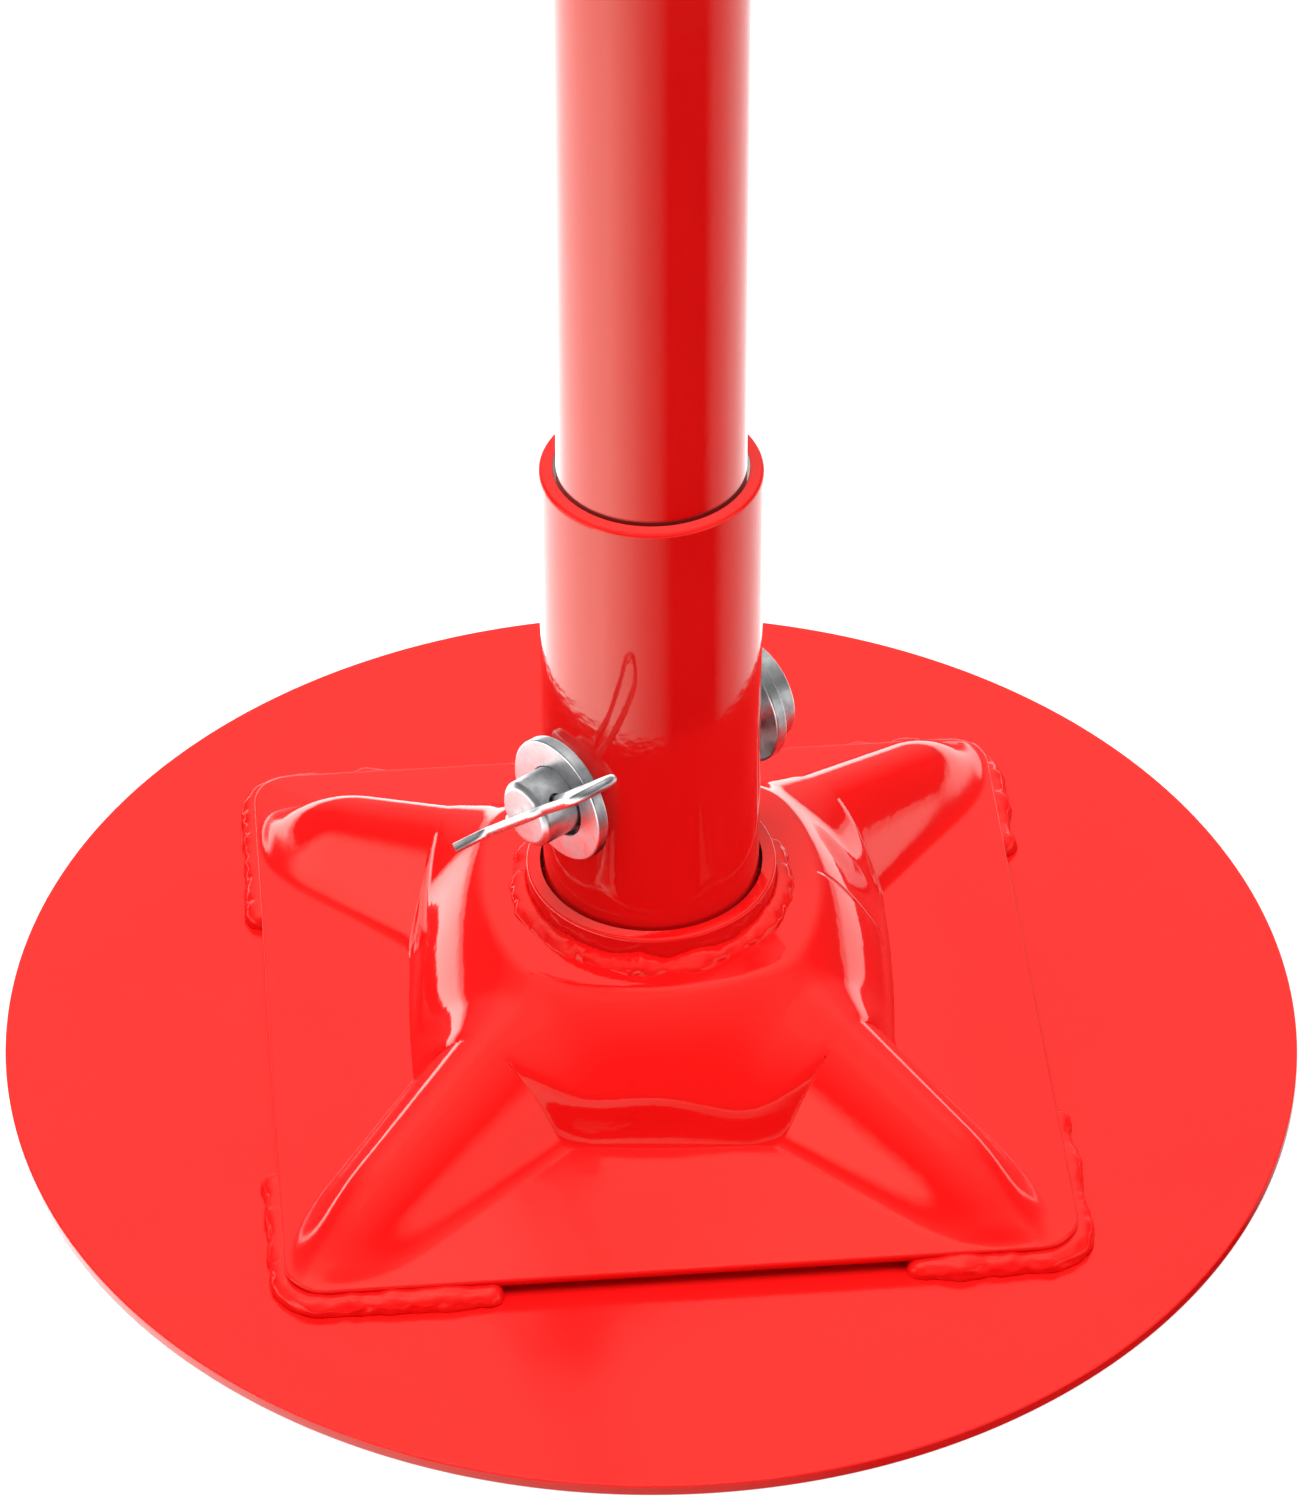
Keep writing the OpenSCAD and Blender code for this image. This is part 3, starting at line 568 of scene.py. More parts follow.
plate = turned([(0, 0), (PLATE_R, 0), (PLATE_R, PLATE_TOP), (0, PLATE_TOP)], steps=360, closed=False)
break_edges(plate, 0.5 * MM, segments=4)
hand_over(plate, "base_disc", "stand", "enamel_red", "base_plate")

# %% [markdown]
# ## The pressed pedestal
# One sheet is pressed into a round crown with four ridges that run down to the corners of a square,
# and four dished sides between them. Every one of its faces flows into the next, so it is a height
# formula over the square: simple slopes, joined by rounded maxima and minima. The net follows the
# sheet's real borders, from the hole in the crown out to the edge, and a Solidify modifier gives it
# its thickness.

# %% Sizes of the pedestal
SHEET_HALF, SHEET_CORNER, SHEET_T = 90 * MM, 9 * MM, 2.2 * MM
SHEET_TURN = math.radians(5)
EDGE_Z, SKIRT_RISE, RIM_WIDTH = 6 * MM, 6.5 * MM, 5 * MM
CROWN_Z, CROWN_FLAT = 44 * MM, 34 * MM
DOME_FALL, DOME_POWER = 28 * MM, 1.8
WALL_FOOT, WALL_SLOPE = 54.2 * MM, 5.5
HOLE_R = 29.1 * MM
SQUARE_POWER = 4.5
CROWN_ASKEW = math.radians(-4)
RIDGE_ASKEW = [math.radians(turn) for turn in (-0.5, 5.5, 0.5, -3)]
RIDGE_START, RIDGE_FALL = 36.5 * MM, 0.345
RIDGE_HALF, RIDGE_TAPER, RIDGE_POWER = 20.5 * MM, 0.2, 1.8
RIDGE_FLARE, FLARE_RUN, FLARE_POWER = 7 * MM, 13.8 * MM, 1.5
RIDGE_FOOT_Z = 10 * MM
NOSE_INSET, NOSE_SLOPE = 4 * MM, 1.1
RIM_BEND, FOOT_BEND, RIDGE_BEND = 2.5 * MM, 6.5 * MM, 12 * MM
WALL_END_BEND, NOSE_BEND, MOUTH_BEND, RIM_FADE = 11 * MM, 9 * MM, 4 * MM, 2 * MM


# %% Height of the sheet
def rounded_max(a, b, reach):
    """The larger of two heights, blended where they are less than reach apart."""
    return max(a, b) + max(reach - abs(a - b), 0) ** 2 / (4 * reach)


def rounded_min(a, b, reach):
    return -rounded_max(-a, -b, reach)


def square_share(angle):
    """How far the nearly square foot of the wall pulls in a radius."""
    both = abs(math.cos(angle)) ** SQUARE_POWER + abs(math.sin(angle)) ** SQUARE_POWER
    return both ** (1 / SQUARE_POWER)


def edge_reach(angle):
    """Distance from the centre to the sheet's edge in a direction."""
    b = abs((angle + math.pi / 4) % (math.pi / 2) - math.pi / 4)
    core = SHEET_HALF - SHEET_CORNER
    if SHEET_HALF * math.tan(b) <= core:
        return SHEET_HALF / math.cos(b)
    along = core * (math.cos(b) + math.sin(b))
    return along + math.sqrt(along ** 2 - 2 * core ** 2 + SHEET_CORNER ** 2)


def crown_height(radius, angle):
    """The dome round the collar, and the steep wall that cuts it at its foot."""
    out = max(radius - CROWN_FLAT, 0) / (WALL_FOOT - CROWN_FLAT)
    wall = EDGE_Z + SKIRT_RISE + WALL_SLOPE * (WALL_FOOT - radius * square_share(angle - CROWN_ASKEW))
    return CROWN_Z - DOME_FALL * out ** DOME_POWER, wall


def ridge_heights(u, v, foot):
    """A ridge, u out along its crest and v beside it: plain, and flared as it is inside the wall."""
    crest = CROWN_Z - RIDGE_FALL * (u - RIDGE_START)
    top = rounded_min(crest, EDGE_Z + NOSE_SLOPE * (foot - u), NOSE_BEND)
    half = RIDGE_HALF - RIDGE_TAPER * (u - WALL_FOOT)
    flare = half + RIDGE_FLARE * (max(WALL_FOOT + FLARE_RUN - u, 0) / FLARE_RUN) ** FLARE_POWER
    return [top - (crest - RIDGE_FOOT_Z) * (abs(v) / width) ** RIDGE_POWER for width in (half, flare)]


def sheet_height(x, y):
    """Height of the sheet's upper face over the floor, before the sheet is turned."""
    radius, angle = math.hypot(x, y), math.atan2(y, x) % (2 * math.pi)
    quarter = min(int(angle / (math.pi / 2)), 3)
    turn = (quarter + 0.5) * math.pi / 2 + RIDGE_ASKEW[quarter]
    plain, flared = ridge_heights(radius * math.cos(angle - turn), radius * math.sin(angle - turn),
                                  edge_reach(turn) - NOSE_INSET)
    dome, wall = crown_height(radius, angle)
    mouth = max(math.cos(4 * (angle - CROWN_ASKEW)), 0)
    cut = rounded_min(rounded_max(dome, flared, RIDGE_BEND), wall, RIM_BEND + RIM_FADE * (1 - mouth))
    raised = rounded_max(cut, plain, min(max(flared - plain, 0.05 * MM), WALL_END_BEND))
    edge = SHEET_HALF - max(abs(x), abs(y))
    skirt = EDGE_Z + SKIRT_RISE * edge / (SHEET_HALF - WALL_FOOT)
    rim = min(max(edge / RIM_WIDTH, 0), 1)
    bend = FOOT_BEND + MOUTH_BEND * mouth
    return min(skirt + (rounded_max(skirt, raised, bend) - skirt) * rim * rim * (3 - 2 * rim), CROWN_Z)


# %% Pedestal
RAYS = 384
RINGS_TO_WALL, RINGS_OVER_WALL, RINGS_PAST_WALL = 28, 26, 46
RINGS = RINGS_TO_WALL + RINGS_OVER_WALL + RINGS_PAST_WALL
WALL_LEAD, WALL_LAG = 5 * MM, 3.5 * MM
RING_SPREAD, RAY_SPREAD = 1.1, 0.45


def ring_radius(ring, angle):
    """Radius of a ring in a direction. The rings close up where they cross the crown's wall."""
    foot = WALL_FOOT / square_share(angle - CROWN_ASKEW)
    low, high = foot - WALL_LEAD, foot + WALL_LAG
    if ring <= RINGS_TO_WALL:
        return HOLE_R + (low - HOLE_R) * ring / RINGS_TO_WALL
    if ring <= RINGS_TO_WALL + RINGS_OVER_WALL:
        return low + (high - low) * (ring - RINGS_TO_WALL) / RINGS_OVER_WALL
    share = (ring - RINGS_TO_WALL - RINGS_OVER_WALL) / RINGS_PAST_WALL
    return high + (edge_reach(angle) - high) * (1 - (1 - share) ** RING_SPREAD)


def pedestal_point(u, v):
    """Round the pedestal with u and out with v. The rays stand closer along the ridges."""
    quarter, share = divmod(u * 4, 1)
    off_ridge = 2 * share - 1
    spread = 1 - RAY_SPREAD + RAY_SPREAD * abs(off_ridge)
    angle = (quarter + 0.5 + off_ridge * spread / 2) * math.pi / 2
    radius = ring_radius(v * RINGS, angle)
    x, y = radius * math.cos(angle), radius * math.sin(angle)
    return Vector((x, y, sheet_height(x, y)))


pedestal = net(RAYS, RINGS, pedestal_point)
bpy.ops.object.shade_smooth()
use_modifier(pedestal, "SOLIDIFY", thickness=SHEET_T, offset=-1, use_even_offset=False)
pedestal.rotation_euler.z = SHEET_TURN
hand_over(pedestal, "pressed_pedestal", "stand", "enamel_red", "pedestal")

# %% [markdown]
# ## Weld beads
# A bead laid by hand isn't smooth: the puddle freezes in overlapping scales a few millimetres long,
# and its width wanders. So each bead is a net that runs along its seam. The section is closed: a round
# face, then back inside the joint. Noise with a fixed seed swells it, so every run gives the same bead.

# %% Lay a bead
SCALE_LENGTH, COLUMNS_A_SCALE = 4.2 * MM, 6
LUMP_SIZE = 7 * MM
FINE_LUMPS, FINE_SHARE, SCALE_LAG = 3, 0.3, 0.3
BEAD_ROWS, FACE_ROWS = 20, 16
FACE_TURN, LAPPED_TURN, FACE_POWER = math.radians(90), math.radians(130), 0.8
BEAD_INSET, END_THINNEST = 0.2, 0.02


def bead_section(row, overlap):
    """Width and height of the bead's section in a row, as shares of the bead's own."""
    turn = min(row / FACE_ROWS, 1) * (LAPPED_TURN if overlap else FACE_TURN)
    out, up = math.cos(turn), math.sin(turn)
    out = out ** FACE_POWER if out > 0 else out * overlap
    back = 2 * max(row - FACE_ROWS, 0) / (BEAD_ROWS - FACE_ROWS)
    if back > 1:
        return (back - 1) * (1 + BEAD_INSET) - BEAD_INSET, 0
    return out * (1 - back) - BEAD_INSET * back, up ** FACE_POWER * (1 - back)


def weld_bead(seam, length, width, height, seed, ring=True, lumps=0.22, scales=0.015, overlap=0):
    """Lays a bead along a seam. seam(u) gives the joint's corner and the way out of it. A bead that isn't
    a ring thins out at its ends, and with an overlap it laps over the edge that it holds."""
    count = max(round(length / SCALE_LENGTH), 1)

    def place(u, v):
        corner, way_out = seam(u)
        out, up = bead_section(round(v * BEAD_ROWS), overlap)
        lump = noise.noise(Vector((corner.x, corner.y, seed * LUMP_SIZE)) / LUMP_SIZE)
        fine = noise.noise(Vector((corner.x, corner.y, (seed + up) * LUMP_SIZE)) * FINE_LUMPS / LUMP_SIZE)
        scale = math.cos(2 * math.pi * (count * u + SCALE_LAG * up))
        size = 1 + lumps * (lump + FINE_SHARE * fine) + scales * scale
        if not ring:
            to_end = min(u, 1 - u) * length / width
            size *= math.sqrt(max(1 - max(1 - to_end, 0) ** 2, END_THINNEST ** 2))
        return corner + way_out * (width * out * size) + Vector((0, 0, height * up * size))

    piece = net(COLUMNS_A_SCALE * count, BEAD_ROWS, place)
    face_outward()
    bpy.ops.object.shade_smooth()
    return piece


def round_bead(radius, seam_z, leg, seed, hangs=False, lumps=0.22):
    """A bead round a tube. It stands on a floor, or hangs under one."""
    def seam(u):
        way_out = Vector((math.cos(2 * math.pi * u), math.sin(2 * math.pi * u), 0))
        return way_out * radius + Vector((0, 0, seam_z)), way_out
    return weld_bead(seam, 2 * math.pi * radius, leg, -leg if hangs else leg, seed, lumps=lumps)


# %% [markdown]
# ## The corner welds
# The sheet touches nothing but these four beads: a slit runs under its edge between them. Each bead
# goes round a corner and some way along both sides. The photograph shows how far, and no two are alike.

# %% Corner welds
CORNER_LEGS = [(40, 43), (43, 51), (43, 49), (40, 47.5)]
CORNER_BEAD_W, CORNER_BEAD_H = 4 * MM, 3.9 * MM


def corner_seam(quarter, leg_before, leg_after):
    """The sheet's edge round one corner, from one leg's end to the other's."""
    turn = Matrix.Rotation(quarter * math.pi / 2 + SHEET_TURN, 3, "Z")
    core = SHEET_HALF - SHEET_CORNER
    before, after = leg_before - SHEET_CORNER, leg_after - SHEET_CORNER
    bend = SHEET_CORNER * math.pi / 2
    length = before + bend + after

    def seam(u):
        along = u * length - before
        angle = min(max(along / bend, 0), 1) * math.pi / 2
        way_out = Vector((math.cos(angle), math.sin(angle), 0))
        way_on = Vector((-math.sin(angle), math.cos(angle), 0))
        past = along if along < 0 else max(along - bend, 0)
        corner = Vector((core, core, 0)) + way_out * SHEET_CORNER + way_on * past
        return turn @ corner + Vector((0, 0, PLATE_TOP)), turn @ way_out
    return seam, length


beads = []
for quarter, legs in enumerate(CORNER_LEGS):
    seam, length = corner_seam(quarter, *(leg * MM for leg in legs))
    beads.append(weld_bead(seam, length, CORNER_BEAD_W, CORNER_BEAD_H, seed=quarter + 1.5, ring=False,
                           lumps=0.3, overlap=1.1))
hand_over(joined(beads), "corner_beads", "stand", "enamel_red", "corner_welds")

# %% [markdown]
# ## Collar, socket and main tube
# Three tubes stand one inside the next with a little play: the collar in the crown's hole, the socket
# in the collar, and the main tube in the socket. Each is turned as a pipe, its rims are rounded, and
# the pin's hole is drilled through the two inner ones. Mirror rays don't see these two, because their
# mirror images would darken the front of the plate, which is bright in the photograph.

# %% Tubes
PIN_Z, PIN_TURN = 86.5 * MM, math.radians(40.5)
Z_ALONG_X = turned_about("Y", math.pi / 2)
PIN_PLACE = moved(0, 0, PIN_Z) @ turned_about("Z", PIN_TURN)
PIN_LINE = PIN_PLACE @ Z_ALONG_X
PIN_HOLE_R = 8.1 * MM
COLLAR_BORE_R, COLLAR_R, COLLAR_LOW, COLLAR_TOP = 25.8 * MM, 29 * MM, 38 * MM, 53 * MM
SOCKET_R, SOCKET_TOP = 25 * MM, 167 * MM
TUBE_R, TUBE_TOP = 21.1 * MM, 1240 * MM

collar = pipe(COLLAR_BORE_R, COLLAR_R, COLLAR_LOW, COLLAR_TOP)
break_edges(collar, 0.8 * MM)
hand_over(collar, "crown_collar", "stand", "enamel_red", "collar")
hand_over(round_bead(COLLAR_R, CROWN_Z, 4.4 * MM, seed=8.0, lumps=0.4), "collar_bead", "stand",
          "enamel_red", "collar_weld")

TUBES = (("socket", "socket_tube", 21.8 * MM, SOCKET_R, SOCKET_TOP, 1.1 * MM),
         ("tall_tube", "main_tube", 18.1 * MM, TUBE_R, TUBE_TOP, 0.6 * MM))
for name, node, bore_r, outer_r, top, rim in TUBES:
    tube = pipe(bore_r, outer_r, PLATE_TOP, top, steps=180)
    break_edges(tube, rim)
    drill(tube, PIN_HOLE_R, 60 * MM, PIN_LINE)
    even_shading(tube)
    hand_over(tube, name, "stand", "enamel_red", node).visible_glossy = False

# %% [markdown]
# ## The clevis pin and its washers
# The pin is cold headed bar: a flat round head, a plain shank and a rough chamfer at the sawn end. It
# is turned upright, and one matrix lays it on its line through the tubes. A washer has more play than
# the hole, so each hangs on the pin, and a dark crescent shows under the shank.

# %% Pin and washers
PIN_R, PIN_END, PIN_CHAMFER = 8 * MM, -38 * MM, 1.2 * MM
HEAD_R, HEAD_IN, HEAD_OUT = 12.5 * MM, 28.45 * MM, 32.95 * MM
CROSS_OUT, CROSS_LEAN = 33 * MM, math.radians(46)
CROSS_LINE = PIN_PLACE @ turned_about("X", CROSS_LEAN) @ moved(-CROSS_OUT, 0, 0)
WASHER_HOLE_R, WASHER_R, WASHER_T, WASHER_SAG = 8.75 * MM, 15 * MM, 3 * MM, 0.7 * MM

pin = turned([(0, PIN_END), (PIN_R - PIN_CHAMFER, PIN_END), (PIN_R, PIN_END + PIN_CHAMFER),
              (PIN_R, HEAD_IN), (HEAD_R, HEAD_IN), (HEAD_R, HEAD_OUT), (0, HEAD_OUT)], closed=False)
pin.matrix_world = PIN_LINE
break_edges(pin, 0.4 * MM)
drill(pin, 1.8 * MM, 20 * MM, CROSS_LINE, steps=32)
even_shading(pin)
hand_over(pin, "headed_pin", "pin", "zinc_plate", "clevis_pin")

for name, start in (("head_washer", 25.3 * MM), ("clip_washer", -28.3 * MM)):
    ring = pipe(WASHER_HOLE_R, WASHER_R, start, start + WASHER_T)
    ring.matrix_world = moved(0, 0, -WASHER_SAG) @ PIN_LINE
    break_edges(ring, 0.5 * MM)
    hand_over(ring, name + "_ring", "pin", "zinc_plate", name)

# %% [markdown]
# ## The R-clip
# The clip is bent from one length of spring wire: a straight leg through the pin, a loop, and a waved
# leg that snaps over the pin's end and flares so that a finger can lift it. The bends are drawn as a
# line in the clip's own plane, a across and s along. The line becomes a curve, and the curve a wire.

# %% R-clip
WIRE_R, LOOP_R, LOOP_S = 1.2 * MM, 5.5, 33.3
LOOP_LEAVE = math.radians(-10.8)
LEG_LOW, LEG_HIGH = -15, 16
WAIST_A, WAIST_SWELL, WAIST_RUN = 7.8, 0.45, 6
LIP_A, LIP_S, LIP_FLARE, LIP_RUN = 8.7, -10, 6.8, 6.5


def clip_line():
    """The wire's middle line as (a, s) in millimetres."""
    loop = [math.pi + (LOOP_LEAVE - math.pi) * k / 40 for k in range(41)]
    steps = [k / 8 for k in range(9)]
    swell = [WAIST_SWELL * (1 - math.cos(math.pi * t)) for t in steps]
    return ([(0, LEG_LOW), (0, 0), (0, LEG_HIGH)]
            + [(LOOP_R + LOOP_R * math.cos(t), LOOP_S + LOOP_R * math.sin(t)) for t in loop]
            + [(WAIST_A + out, LEG_HIGH - WAIST_RUN * t) for out, t in zip(swell, steps)]
            + [(LIP_A + LIP_FLARE * t * t, LIP_S - LIP_RUN * t) for t in steps])


clip = rod([CROSS_LINE @ (Vector((-a, 0, s)) * MM) for a, s in clip_line()], WIRE_R)
hand_over(clip, "spring_clip", "clip", "zinc_plate", "r_clip")

# %% [markdown]
# ## The cap and the bearing's cover
# The photograph ends above the socket, so what follows is guessed from how such stands are built. The
# tube carries a welded cap, the cap carries a ball thrust bearing, and a dust skirt covers the balls.
# The races, balls and cage are right as the CAD model has them, and only get their finish.

# %% Tube cap and bearing cover
cap = turned_mm([(13.1, 1226), (18, 1226), (18, 1240), (31.05, 1240), (31.05, 1250), (23.65, 1250),
                 (23.65, 1249), (13.1, 1249)])
break_edges(cap, 0.8 * MM)
hand_over(cap, "bearing_seat", "stand", "enamel_red", "tube_cap")
hand_over(round_bead(TUBE_R, TUBE_TOP, 4.5 * MM, seed=12.0, hangs=True), "cap_bead", "stand",
          "enamel_red", "tube_cap_weld")

cover = turned_mm([(28.1, 1251), (29.5, 1251), (29.5, 1267.45), (26.05, 1267.45), (26.05, 1266.05),
                   (28.1, 1266.05)])
break_edges(cover, 0.5 * MM)
hand_over(cover, "dust_skirt", "handle", "enamel_red", "bearing_cover")

# %% [markdown]
# ## The spin handle
# The nut's hub takes the screw's thread, so a turn of the arms lifts the saddle by one pitch. Both arms
# are bars, pressed into drilled seats, and lean up to keep knuckles off the tube. The grips are moulded
# rubber sleeves with ribs.

# %% Handle nut, arms and grips
ARM_Z, ARM_R, ARM_LEAN = 1282.85 * MM, 6 * MM, math.radians(10)
ARM_TURNS = {"right": math.radians(25), "left": math.radians(205)}
ARM_SEAT, SEAT_PLAY = 23 * MM, 0.05 * MM
arm_lines = {side: moved(0, 0, ARM_Z) @ turned_about("Z", turn) @ turned_about("Y", math.pi / 2 - ARM_LEAN)
             for side, turn in ARM_TURNS.items()}

nut = turned_mm([(12.6, 1257.45), (14.9, 1257.45), (14.9, 1260.05), (28.05, 1260.05), (28.05, 1266.05),
                 (23, 1266.05), (23, 1298.05), (12.6, 1298.05)])
break_edges(nut, 1.0 * MM)
for line in arm_lines.values():
    drill(nut, ARM_R + SEAT_PLAY, 12 * MM, line @ moved(0, 0, ARM_SEAT))
even_shading(nut)
hand_over(nut, "spin_nut", "handle", "zinc_plate", "handle_nut")

RIB_COUNT, RIB_PITCH, RIB_START, RIB_SHARP = 9, 7, 64, 30
GRIP_R, RIB_R = 10.2, 11.3
RIB = ((GRIP_R, 0), (RIB_R, 1.5), (RIB_R, 4), (GRIP_R, 5.5))
ribs = [(radius, RIB_START + RIB_PITCH * k + step) for k in range(RIB_COUNT) for radius, step in RIB]
for side, line in arm_lines.items():
    arm = turned_mm([(0, 17), (6, 17), (6, 136), (0, 136)], closed=False)
    arm.matrix_world = line
    break_edges(arm, 0.6 * MM)
    hand_over(arm, f"arm_{side}", "handle", "zinc_plate", f"handle_arm_{side}")
    grip = turned_mm([(0, 136.3), (6.05, 136.3), (6.05, 53), (12, 53), (12, 57), (GRIP_R, 60)] + ribs
                     + [(GRIP_R, 130), (12, 134), (12, 141), (0, 141)], closed=False)
    grip.matrix_world = line
    break_edges(grip, 0.9 * MM, sharp=RIB_SHARP)
    hand_over(grip, f"ribbed_grip_{side}", "handle", "black_rubber", f"grip_{side}")

# %% [markdown]
# ## The lifting screw
# The thread is what lifts, so it is a real one: a right-handed trapezoid that rises 6 mm in a turn. A
# net is wound round the axis with one side a pitch higher than the other. Merging the two sides then
# joins every row to the next one, and the rows become a single long helix.

# %% Lifting screw
PITCH, CREST_R, ROOT_R, CREST_ROUND = 6 * MM, 12.5 * MM, 9.2 * MM, 0.2 * MM
THREAD_LOW, THREAD_HIGH = 606 * MM, 1297.5 * MM
THREAD_SECTION = [(0.0, ROOT_R), (0.34, ROOT_R), (0.46, CREST_R - CREST_ROUND), (0.50, CREST_R),
                  (0.80, CREST_R), (0.84, CREST_R - CREST_ROUND), (0.96, ROOT_R)]
PITCHES = math.ceil((THREAD_HIGH - THREAD_LOW) / PITCH) + 1
THREAD_ROWS, THREAD_STEPS, THREAD_SHARP = PITCHES * len(THREAD_SECTION), 48, 30


def thread_point(u, v):
    """Round the screw with u and up it with v. The thread fades out over its first and last pitch."""
    turns, step = divmod(round(v * THREAD_ROWS), len(THREAD_SECTION))
    share, radius = THREAD_SECTION[step]
    height = THREAD_LOW + (turns - 1 + share + u) * PITCH
    fade = min(max((height - THREAD_LOW) / PITCH, 0), max((THREAD_HIGH - height) / PITCH, 0), 1)
    radius = ROOT_R + (radius - ROOT_R) * fade
    height = min(max(height, THREAD_LOW), THREAD_HIGH)
    return Vector((radius * math.cos(2 * math.pi * u), radius * math.sin(2 * math.pi * u), height))


thread = net(THREAD_STEPS, THREAD_ROWS, thread_point)
face_outward()
bpy.ops.object.shade_smooth_by_angle(angle=math.radians(THREAD_SHARP))
core = turned_mm([(0, 581.6), (7.5, 581.6), (7.5, 605), (9.1, 605), (9.1, 1297.5), (12, 1297.5),
                  (12, 1298.6), (9, 1298.6), (9, 1306.55), (7.5, 1306.55), (7.5, 1312.75), (9, 1312.75),
                  (9, 1320.65), (0, 1320.65)], closed=False)
break_edges(core, 0.4 * MM)
hand_over(joined([thread, core]), "threaded_screw", "screw", "bright_steel", "lifting_screw")

# %% [markdown]
# ## The saddle
# The cup turns freely on the screw's journal, so that the load doesn't spin with the handle. On it sits
# a strip of plate bent up at both sides, which keeps a beam or an axle from rolling off, and a rubber
# pad on two sunk screws keeps it from slipping.

# %% Cup and cradle
GROOVE_Z, CRADLE_Z, CUP_R = 1309.65 * MM, 1328.85 * MM, 17.1 * MM
CUP_SIDE = moved(0, 0, GROOVE_Z) @ Z_ALONG_X
CRADLE_HALF, CRADLE_T, CRADLE_BEND, BEND_STEPS = 31 * MM, 5 * MM, 8 * MM, 12
PRONG_TURN, PRONG = math.radians(65), 26 * MM
SADDLE_DEPTH = 50 * MM
SCREW_PLACES, SCREW_HOLE_R = (-24 * MM, 24 * MM), 2.55 * MM

cup = turned_mm([(9.1, 1298.75), (17.1, 1298.75), (17.1, 1328.85), (0, 1328.85), (0, 1320.85),
                 (9.1, 1320.85)], closed=False)
break_edges(cup, 0.8 * MM)
drill(cup, 3.05 * MM, 16 * MM, CUP_SIDE @ moved(0, 0, CUP_R - 4 * MM), steps=32)
even_shading(cup)
hand_over(cup, "swivel_cup", "saddle", "enamel_red", "saddle_cup")


def cradle_side(radius):
    """One face of the strip, from the middle of the floor round the bend to the prong's tip."""
    middle = Vector((CRADLE_HALF, 0, CRADLE_T + CRADLE_BEND))
    turns = [PRONG_TURN * k / BEND_STEPS for k in range(BEND_STEPS + 1)]
    bend = [middle + radius * Vector((math.sin(turn), 0, -math.cos(turn))) for turn in turns]
    return bend + [bend[-1] + PRONG * Vector((math.cos(PRONG_TURN), 0, math.sin(PRONG_TURN)))]


half_strip = cradle_side(CRADLE_BEND + CRADLE_T) + cradle_side(CRADLE_BEND)[::-1]
strip = half_strip + [Vector((-p.x, 0, p.z)) for p in half_strip[::-1]]
cradle = drawn([p + Vector((0, -SADDLE_DEPTH / 2, CRADLE_Z)) for p in strip])
bpy.ops.mesh.select_all(action="SELECT")
bpy.ops.mesh.edge_face_add()
bpy.ops.mesh.extrude_region_move(TRANSFORM_OT_translate={"value": (0, SADDLE_DEPTH, 0)})
face_outward()
for side in SCREW_PLACES:
    drill(cradle, SCREW_HOLE_R, 20 * MM, moved(side, 0, CRADLE_Z), steps=32)
break_edges(cradle, 0.8 * MM)
hand_over(cradle, "forked_cradle", "saddle", "enamel_red", "saddle_cradle")
hand_over(round_bead(CUP_R, CRADLE_Z, 3.5 * MM, seed=16.0, hangs=True), "cradle_bead", "saddle",
          "enamel_red", "saddle_weld")

# %% [markdown]
# ## The pad
# The pad is a block with rounded corners and four grooves across it. Its two screws stand in flat seats
# under its top, so that no steel touches the load.

# %% Pad
PAD_Z, PAD_TOP, PAD_SEAT_Z = 1333.85 * MM, 1339.85 * MM, 1335.65 * MM
PAD_X, PAD_Y, PAD_CORNER = 60 * MM, 48 * MM, 2 * MM
PAD_GROOVES, GROOVE_SIZE = (-15 * MM, -5 * MM, 5 * MM, 15 * MM), (2.5 * MM, 60 * MM, 3 * MM)
SEAT_R, SEAT_CUT = 4.85 * MM, 10 * MM

nothing_selected()
bpy.ops.mesh.primitive_cube_add(size=1, location=(0, 0, (PAD_Z + PAD_TOP) / 2),
                                scale=(PAD_X, PAD_Y, PAD_TOP - PAD_Z))
pad = bpy.context.object
bpy.ops.object.transform_apply(location=False, rotation=False, scale=True)
bpy.ops.object.mode_set(mode="EDIT")
pick(pad, "EDGE", lambda edge: abs(edge.verts[0].co.z - edge.verts[1].co.z) > MM)
bpy.ops.mesh.bevel(offset=PAD_CORNER, segments=6)
bpy.ops.object.mode_set(mode="OBJECT")
for side in PAD_GROOVES:
    cut_slot(pad, (side, 0, PAD_TOP), GROOVE_SIZE)
for side in SCREW_PLACES:
    drill(pad, SCREW_HOLE_R, 20 * MM, moved(side, 0, PAD_Z), steps=32)
    drill(pad, SEAT_R, SEAT_CUT, moved(side, 0, PAD_SEAT_Z + SEAT_CUT / 2), steps=48)
break_edges(pad, 0.35 * MM)
hand_over(pad, "grooved_pad", "saddle", "black_rubber", "saddle_pad")

# %% [markdown]
# A screw is turned, and its hexagon socket is drilled with six steps.

# %% Screws of the saddle
SCREW_TOP, GRUB_TOP = 1338.2, 16.5
screws = []
for side in SCREW_PLACES:
    screw = turned_mm([(0, 1328.85), (2.5, 1328.85), (2.5, 1335.65), (4.8, 1335.65), (4.8, SCREW_TOP),
                       (0, SCREW_TOP)], closed=False, steps=64)
    break_edges(screw, 0.4 * MM)
    drill(screw, 1.7 * MM, 3 * MM, moved(0, 0, SCREW_TOP * MM), steps=6)
    even_shading(screw)
    screw.location.x = side
    screws.append(screw)
hand_over(joined(screws), "sunk_screws", "saddle", "zinc_plate", "pad_screws")

